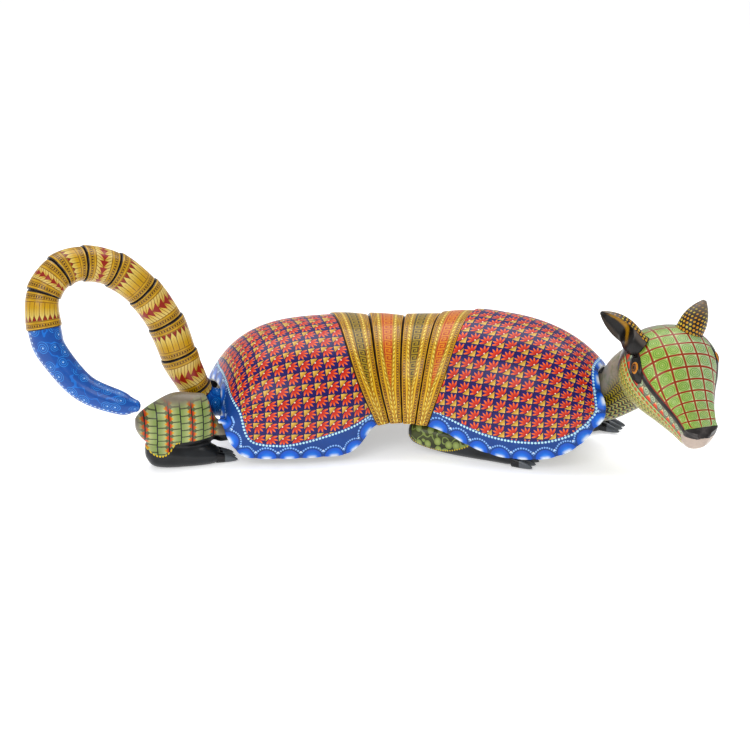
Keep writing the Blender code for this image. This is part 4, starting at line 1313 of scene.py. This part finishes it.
def neck_paint():
    """Grey-brown back over black flanks with rows of gold-green leaves along the neck."""
    paint = Paint("neck_paint", 0.38, 0.2)
    turns, run = round_turns(paint), paint.read("along")
    height = paint.read("sine")
    rows = turns * 22.0
    y = rows.fract() - 0.5
    slant = (run / 0.0030 + abs(y) * 1.4).fract()
    leaf = paint.mottled("b08c2a", "7c8438", 60.0)
    low = paint.mix("9ca868", "c8702e", slant.between(0.42, 0.80))
    leaf = paint.mix(low, leaf, height.between(-0.45, -0.05))
    base = paint.mix("15140c", leaf, slant.near(0.45, 0.26))
    base = paint.mix(base, "15140c", abs(y).near(0.5, 0.06))
    grey_wash = paint.mottled("7a7264", "a0988a", 90.0, 3.0)
    grey_wash = paint.mix(grey_wash, "66704e", paint.noise(150.0).between(0.48, 0.62) * 0.6)
    return paint.finish(paint.mix(base, grey_wash, height.between(0.10, 0.62)),
                        slant * 0.5 + paint.noise(260.0) * 0.5)


# ---------------------------------------------------------------- ears

def ear_axes(label):
    root, point, opens = (Vector(EARS[label][key]) for key in ("root", "points", "opens"))
    point.normalize()
    return root, point, (opens - point * opens.dot(point)).normalized()


def ear_ring(label, row):
    """One section of an ear: round, with its open side flattened or scooped."""
    distance, half, hollow = row
    root, point, opens = ear_axes(label)
    turn = math.pi / 2 + 2 * math.pi * np.arange(96) / 96
    facing = np.cos(turn) * np.where(np.cos(turn) < 0, 1.0, hollow)
    return np.array(root + point * distance) + half * (np.outer(np.sin(turn), point.cross(opens))
                                                       + np.outer(facing, opens))


def make_ear(label):
    root, point, opens = ear_axes(label)
    across = point.cross(opens)
    rows = smooth_profile(EAR_STATIONS, np.linspace(0, EAR_STATIONS[-1][0], 70))
    ear = loft(f"ear_{label}_painted", [ear_ring(label, row) for row in rows])
    cut(ear, [peg_hole("ear_hole", root, point, EAR_PEG_SIDE, EAR_PEG_LENGTH)])
    local = points_of(ear) - np.array(root)
    distance = local @ np.array(point)
    half = smooth_profile(EAR_STATIONS, distance)[:, 1]
    sideways = local @ np.array(across)
    depth = local @ np.array(opens)
    shell = np.sqrt(np.maximum(half ** 2 - sideways ** 2, 0))
    inside = depth > shell * np.where(distance > 0.0100, -0.86, 0.50)
    store(ear, up=distance, wide=sideways / half, inside=inside.astype(float),
          girth=np.arctan2(depth, sideways) * half)
    smooth_shade(ear, 50)
    ear.data.transform(HEAD_PLACE)
    settle(ear, f"ear_{label}", f"ear_{label}_body", ear_paint(label))


def ear_paint(label):
    """Black shell: rows of yellow dots on the back, a golden streak inside, a grey-brown wash towards
    the tip.
    """
    paint = Paint(f"ear_{label}_paint", 0.40, 0.15)
    up, wide, inside = paint.read("up"), paint.read("wide"), paint.read("inside")
    ground = paint.mottled("17110c", "33241a", 80.0)
    row = up / EAR_ROWS
    offset = (row.floor() * 0.5).fract()
    x = middled(paint.read("girth") + offset * EAR_DOTS, EAR_DOTS)
    y = middled(up, EAR_ROWS)
    size = 0.00108 - up.between(0.010, 0.040) * 0.0005
    spots = x * x + y * y < size * size
    dot = paint.mix("dcc45c", "dca050", paint.noise(150.0, 1.0).between(0.4, 0.6))
    back = paint.mix(ground, dot, spots)
    grey_wash = paint.mottled("6e6358", "978a7a", 120.0, 3.0)
    back = paint.mix(back, grey_wash, up.between(0.022, 0.040) * 0.75)
    streak = abs(wide).between(0.34, 0.10)
    streak = streak * up.between(0.009, 0.015) * up.between(0.038, 0.030)
    hollow = paint.mix("120e0c", "b98a3c", streak * 0.9)
    lip = abs(wide).between(0.80, 0.97)
    hollow = paint.mix(hollow, "5a524c", lip)
    return paint.finish(paint.mix(back, hollow, inside.between(0.4, 0.6)), spots * 0.6)


# ---------------------------------------------------------------- legs

def limb_rings(stations, side, shift, count=72):
    rings = []
    for s, out, z, half, high in smooth_course(stations, 60):
        turn = np.linspace(0, 2 * math.pi, count, endpoint=False)
        rings.append(body_point(s + shift, side * (out + half * np.cos(turn)), z + high * np.sin(turn)))
    return rings


def to_right(s):
    angle = float(heading(s))
    return np.array([-math.sin(angle), -math.cos(angle), 0.0])


def keel_half(s):
    return KEEL_REAR + (KEEL_FRONT - KEEL_REAR) * float(ease((s + 0.02) / 0.08))


def hip(where, side, depth):
    s, z = where
    inner = keel_half(s) + GAP
    middle = body_point(s, side * (inner + depth) / 2, z)
    return rod("hip", middle, to_right(s), HIP_RADIUS, depth - inner, 48)


def merge(items, name):
    """Joins closed pieces into one skin with softened valleys between them."""
    whole = joined(items, name)
    skin = whole.modifiers.new("skin", "REMESH")
    skin.mode = "VOXEL"
    skin.voxel_size = LEG_VOXEL
    soften = whole.modifiers.new("soften", "SMOOTH")
    soften.factor = 0.5
    soften.iterations = 8
    apply_modifiers(whole)
    points = points_of(whole)
    points[:, 2] = np.maximum(points[:, 2], 0.0)
    whole.data.vertices.foreach_set("co", points.ravel())
    whole.data.shade_smooth()
    return whole


def make_claws(name, s, out, side):
    """Three curved claws, thick at the root, on the front of a foot."""
    parts = []
    for k in (-1, 0, 1):
        rings = []
        for t in np.linspace(0, 1, 14):
            place = out + k * CLAW_SPREAD * (1 + 0.15 * t)
            size = 0.0040 * (1 - t) ** 0.6 + 0.0004
            turn = np.linspace(0, 2 * math.pi, 20, endpoint=False)
            z = 0.0052 - 0.0032 * t + size * 1.1 * np.sin(turn)
            rings.append(body_point(s + CLAW_LENGTH * t, side * (place + size * 0.8 * np.cos(turn)),
                                    np.maximum(z, 0.0)))
        parts.append(loft("claw", rings))
    claws = joined(parts, name)
    smooth_shade(claws, 60)
    where, _ = stations_of(points_of(claws))
    store(claws, along=where - s)
    claws.data.materials.append(claw_paint(name + "_paint"))
    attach(claws, FIGURE)


def claw_paint(name):
    """Black roots turning to slate grey blades."""
    paint = Paint(name, 0.30, 0.25)
    base = paint.mix("0c0c0e", "5a5e62", paint.read("along").between(0.0062, 0.0070))
    return paint.finish(base, paint.noise(300.0), 0.0002)


def store_limb(leg, shift, out, side):
    points = points_of(leg)
    s, across = stations_of(points)
    store(leg, s=s - shift, z=points[:, 2], out=side * across - out)


def foot_black(paint):
    return paint.mix("0a0a0c", "24272a", paint.noise(45.0).between(0.35, 0.75))


def make_hind_leg(label, side, shift):
    pieces = [loft("thigh", limb_rings(HIND_THIGH, side, shift)),
              loft("foot", limb_rings(HIND_FOOT, side, shift)),
              hip((HIND_HIP[0] + shift, HIND_HIP[1]), side, HIND_HIP_DEPTH)]
    for piece in pieces[:2]:
        split(piece, (0, 0, 0), (0, 0, 1))
    leg = merge(pieces, f"hind_leg_{label}_painted")
    toe_s, toe_side = HIND_FOOT[-2][:2]
    store_limb(leg, shift, toe_side, side)
    make_claws(f"hind_claws_{label}", toe_s + shift, toe_side, side)
    settle(leg, f"hind_leg_{label}", FIGURE, hind_paint(f"hind_leg_{label}_paint"))


def hind_paint(name):
    """Columns of pale leaves and flame tips over a black foot, with painted shade in grey-brown towards
    the top and ends of the thigh.
    """
    paint = Paint(name, 0.36, 0.2)
    s, z, out = paint.read("s"), paint.read("z"), paint.read("out")
    bend = s + 0.2030
    column = (s + 0.2230 + paint.wobble(40.0) * 0.0012) / LEAF_COLUMN
    x = column.fract()
    flip = (column.floor() * 0.5).fract() > 0.25
    x = x + (1.0 - x * 2.0) * flip
    y = ((z + column.floor() * 0.0017) / LEAF_HEIGHT).fract() - 0.5
    base = paint.mottled("4c5436", "6a6e4c", 110.0)
    leaf = paint.mix("8a9c5c", "b4bc84", x.between(0.1, 0.75))
    shape = (abs(y) < 0.42) * (x < 0.56) + disc((x - 0.56) * 0.9, y * 0.5, 0.21)
    base = paint.mix(base, "2f3520", (abs(y) < 0.48) * (x < 0.60))
    base = paint.mix(base, leaf, shape.least(1.0))
    flame = abs(y) < (x - 0.56) * 0.95
    fire = paint.mix("e8b43a", "cc4018", x.between(0.62, 0.90))
    base = paint.mix(base, fire, flame * (x > 0.60))
    base = paint.mix(base, "171810", column.fract().near(0.0, 0.055).most(column.fract() > 0.945))
    # painted shade: a mottled grey-brown wash dulls the top of the thigh below the armour and both its
    # ends
    grey_wash = paint.mottled("6f6658", "968c7c", 130.0, 3.0)
    top = (z + out * 0.15).between(0.0490, 0.0570)
    top = top.most(s.between(-0.2135, -0.2200)).most(s.between(-0.1600, -0.1545))
    base = paint.mix(base, grey_wash, top * (0.75 + paint.noise(90.0) * 0.5).least(1.0))
    line = (bend * bend * 62.0 + 0.0118).least(0.0215)
    beads = dotted(s, 0.0022, z - line, 0.00075)
    foot = foot_black(paint)
    # painted shadow: a near-black band along the top of the foot, just under the overhanging thigh
    foot = paint.mix(foot, "030303", z.between(0.0150, 0.0185) * (s > -0.198))
    base = paint.mix(base, foot, z < line + 0.0002)
    base = paint.mix(base, "e6c23c", beads * (s < -0.188))
    return paint.finish(base, shape * 0.5 + paint.noise(280.0) * 0.4)


def make_fore_leg(label, side, stations):
    pieces = [loft("limb", limb_rings(stations, side, 0.0)),
              hip(FORE_HIPS[label], side, FORE_HIP_DEPTH)]
    split(pieces[0], (0, 0, 0), (0, 0, 1))
    leg = merge(pieces, f"fore_leg_{label}_painted")
    store_limb(leg, stations[0][0], stations[0][1], side)
    toe_s, toe_side = stations[-1][:2]
    make_claws(f"fore_claws_{label}", toe_s - 0.0035, toe_side, side)
    paint = fore_paint(f"fore_leg_{label}_paint", stations[-1][0] - stations[0][0])
    settle(leg, f"fore_leg_{label}", FIGURE, paint)


def fore_paint(name, length):
    """Dark olive with pale green discs on stems, a yellow dotted line and a black foot."""
    paint = Paint(name, 0.36, 0.2)
    s, z = paint.read("s"), paint.read("z")
    base = paint.mix("23260f", "4c522a", z.between(0.006, 0.022))
    per_metre = 100.0
    far = paint.cells(paint.combine(s + 0.0015, z), per_metre, 0.65)[0] / per_metre
    stems = (paint.noise(95.0, 1.0) * 5.0).fract()
    base = paint.mix(base, "8a9a58", stems.near(0.5, 0.10))
    base = paint.mix(base, "1f2312", far < 0.0037)
    base = paint.mix(base, paint.mix("a2b06c", "82904e", far.between(0.0005, 0.0035)),
                     far < 0.0034)
    heel = length * 0.62
    line = (s - length * 0.33) * (s - length * 0.33) * 9.0 + 0.0052
    base = paint.mix(base, foot_black(paint), (z < line).most(s > heel))
    base = paint.mix(base, "1a1c12", s < 0.0042)
    beads = dotted(s, 0.0024, z - line, 0.0007)
    base = paint.mix(base, "dcc04a", beads * (s < heel))
    return paint.finish(base, paint.noise(280.0))


# ---------------------------------------------------------------- carried-over parts

def belly_paint():
    """Dark wash with pale brushed dots on the block under the armour, and blue at the tail."""
    paint = Paint("belly_paint", 0.45, 0.1)
    base = paint.mix("2a2622", "4a4238", paint.noise(60.0, 3.0).between(0.3, 0.7))
    spots = paint.cells(paint.place(), 170.0, 0.25, flat=False)[0] < 0.22
    base = paint.mix(base, "b9a24e", spots)
    base = paint.mix(base, "0a4296", paint.parts(paint.place())[0] < -0.088)
    return paint.finish(base, spots * 0.5)


def bare_wood():
    """Pale copal wood with fine grain."""
    paint = Paint("bare_wood", 0.62, 0.0)
    grain = paint.noise(420.0, 4.0)
    base = paint.mix("caa06a", "a67a48", grain.between(0.35, 0.65))
    return paint.finish(base, grain, 0.0002)


def dress_parts():
    wood, belly = bare_wood(), belly_paint()
    for name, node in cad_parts.items():
        if node.hide_render:
            continue
        node.data.materials.clear()
        node.data.materials.append(belly if name == "body_core" else wood)


# ---------------------------------------------------------------- studio

def make_floor():
    bpy.ops.mesh.primitive_plane_add(size=24.0, location=(0, 4.0, -0.0002))
    floor = bpy.context.object
    floor.name = "floor"
    material = bpy.data.materials.new("floor_white")
    material.use_nodes = True
    shader = material.node_tree.nodes["Principled BSDF"]
    shader.inputs["Base Color"].default_value = (0.93, 0.935, 0.94, 1.0)
    shader.inputs["Roughness"].default_value = 0.6
    shader.inputs["Specular IOR Level"].default_value = 0.1
    shader.inputs["Emission Color"].default_value = (1.0, 1.0, 1.0, 1.0)
    shader.inputs["Emission Strength"].default_value = 0.45
    floor.data.materials.append(material)


def area_light(name, place, aim, size, power):
    light = bpy.data.lights.new(name, "AREA")
    light.shape = "RECTANGLE"
    light.size, light.size_y = size
    light.energy = power
    item = link_object(name, light)
    item.location = place
    item.rotation_euler = (Vector(aim) - Vector(place)).to_track_quat("-Z", "Y").to_euler()


def make_lights():
    world = bpy.data.worlds.new("studio")
    bpy.context.scene.world = world
    bpy.context.scene.view_settings.view_transform = "Standard"
    world.use_nodes = True
    world.node_tree.nodes["Background"].inputs[0].default_value = (1.0, 1.0, 1.0, 1.0)
    world.node_tree.nodes["Background"].inputs[1].default_value = 0.55
    area_light("top", (0.0, 0.45, 1.30), (0.0, 0.05, 0.05), (1.8, 0.9), 14.0)
    area_light("front", (-0.5, -1.30, 1.00), (0.0, 0.0, 0.05), (1.2, 0.8), 9.0)


def make_camera():
    camera = bpy.data.cameras.new("camera")
    camera.lens = CAMERA_LENS
    camera.sensor_width = 36.0
    item = link_object("camera", camera)
    lift = math.radians(CAMERA_ELEVATION)
    back = Vector((0.0, -math.cos(lift), math.sin(lift)))
    item.location = Vector(CAMERA_TARGET) + back * CAMERA_DISTANCE
    item.rotation_euler = (-back).to_track_quat("-Z", "Y").to_euler()
    bpy.context.scene.camera = item


def main():
    make_camera()
    make_shield("rear_shield", REAR, False)
    make_shield("front_shield", FRONT, True)
    for k in range(BAND_COUNT):
        make_band(k)
    make_tail()
    make_head()
    make_neck()
    for label in EARS:
        make_ear(label)
    make_hind_leg("right", 1, 0.0)
    make_hind_leg("left", -1, HIND_STRIDE)
    make_fore_leg("right", 1, FORE_RIGHT)
    make_fore_leg("left", -1, FORE_LEFT)
    dress_parts()
    make_floor()
    make_lights()


main()
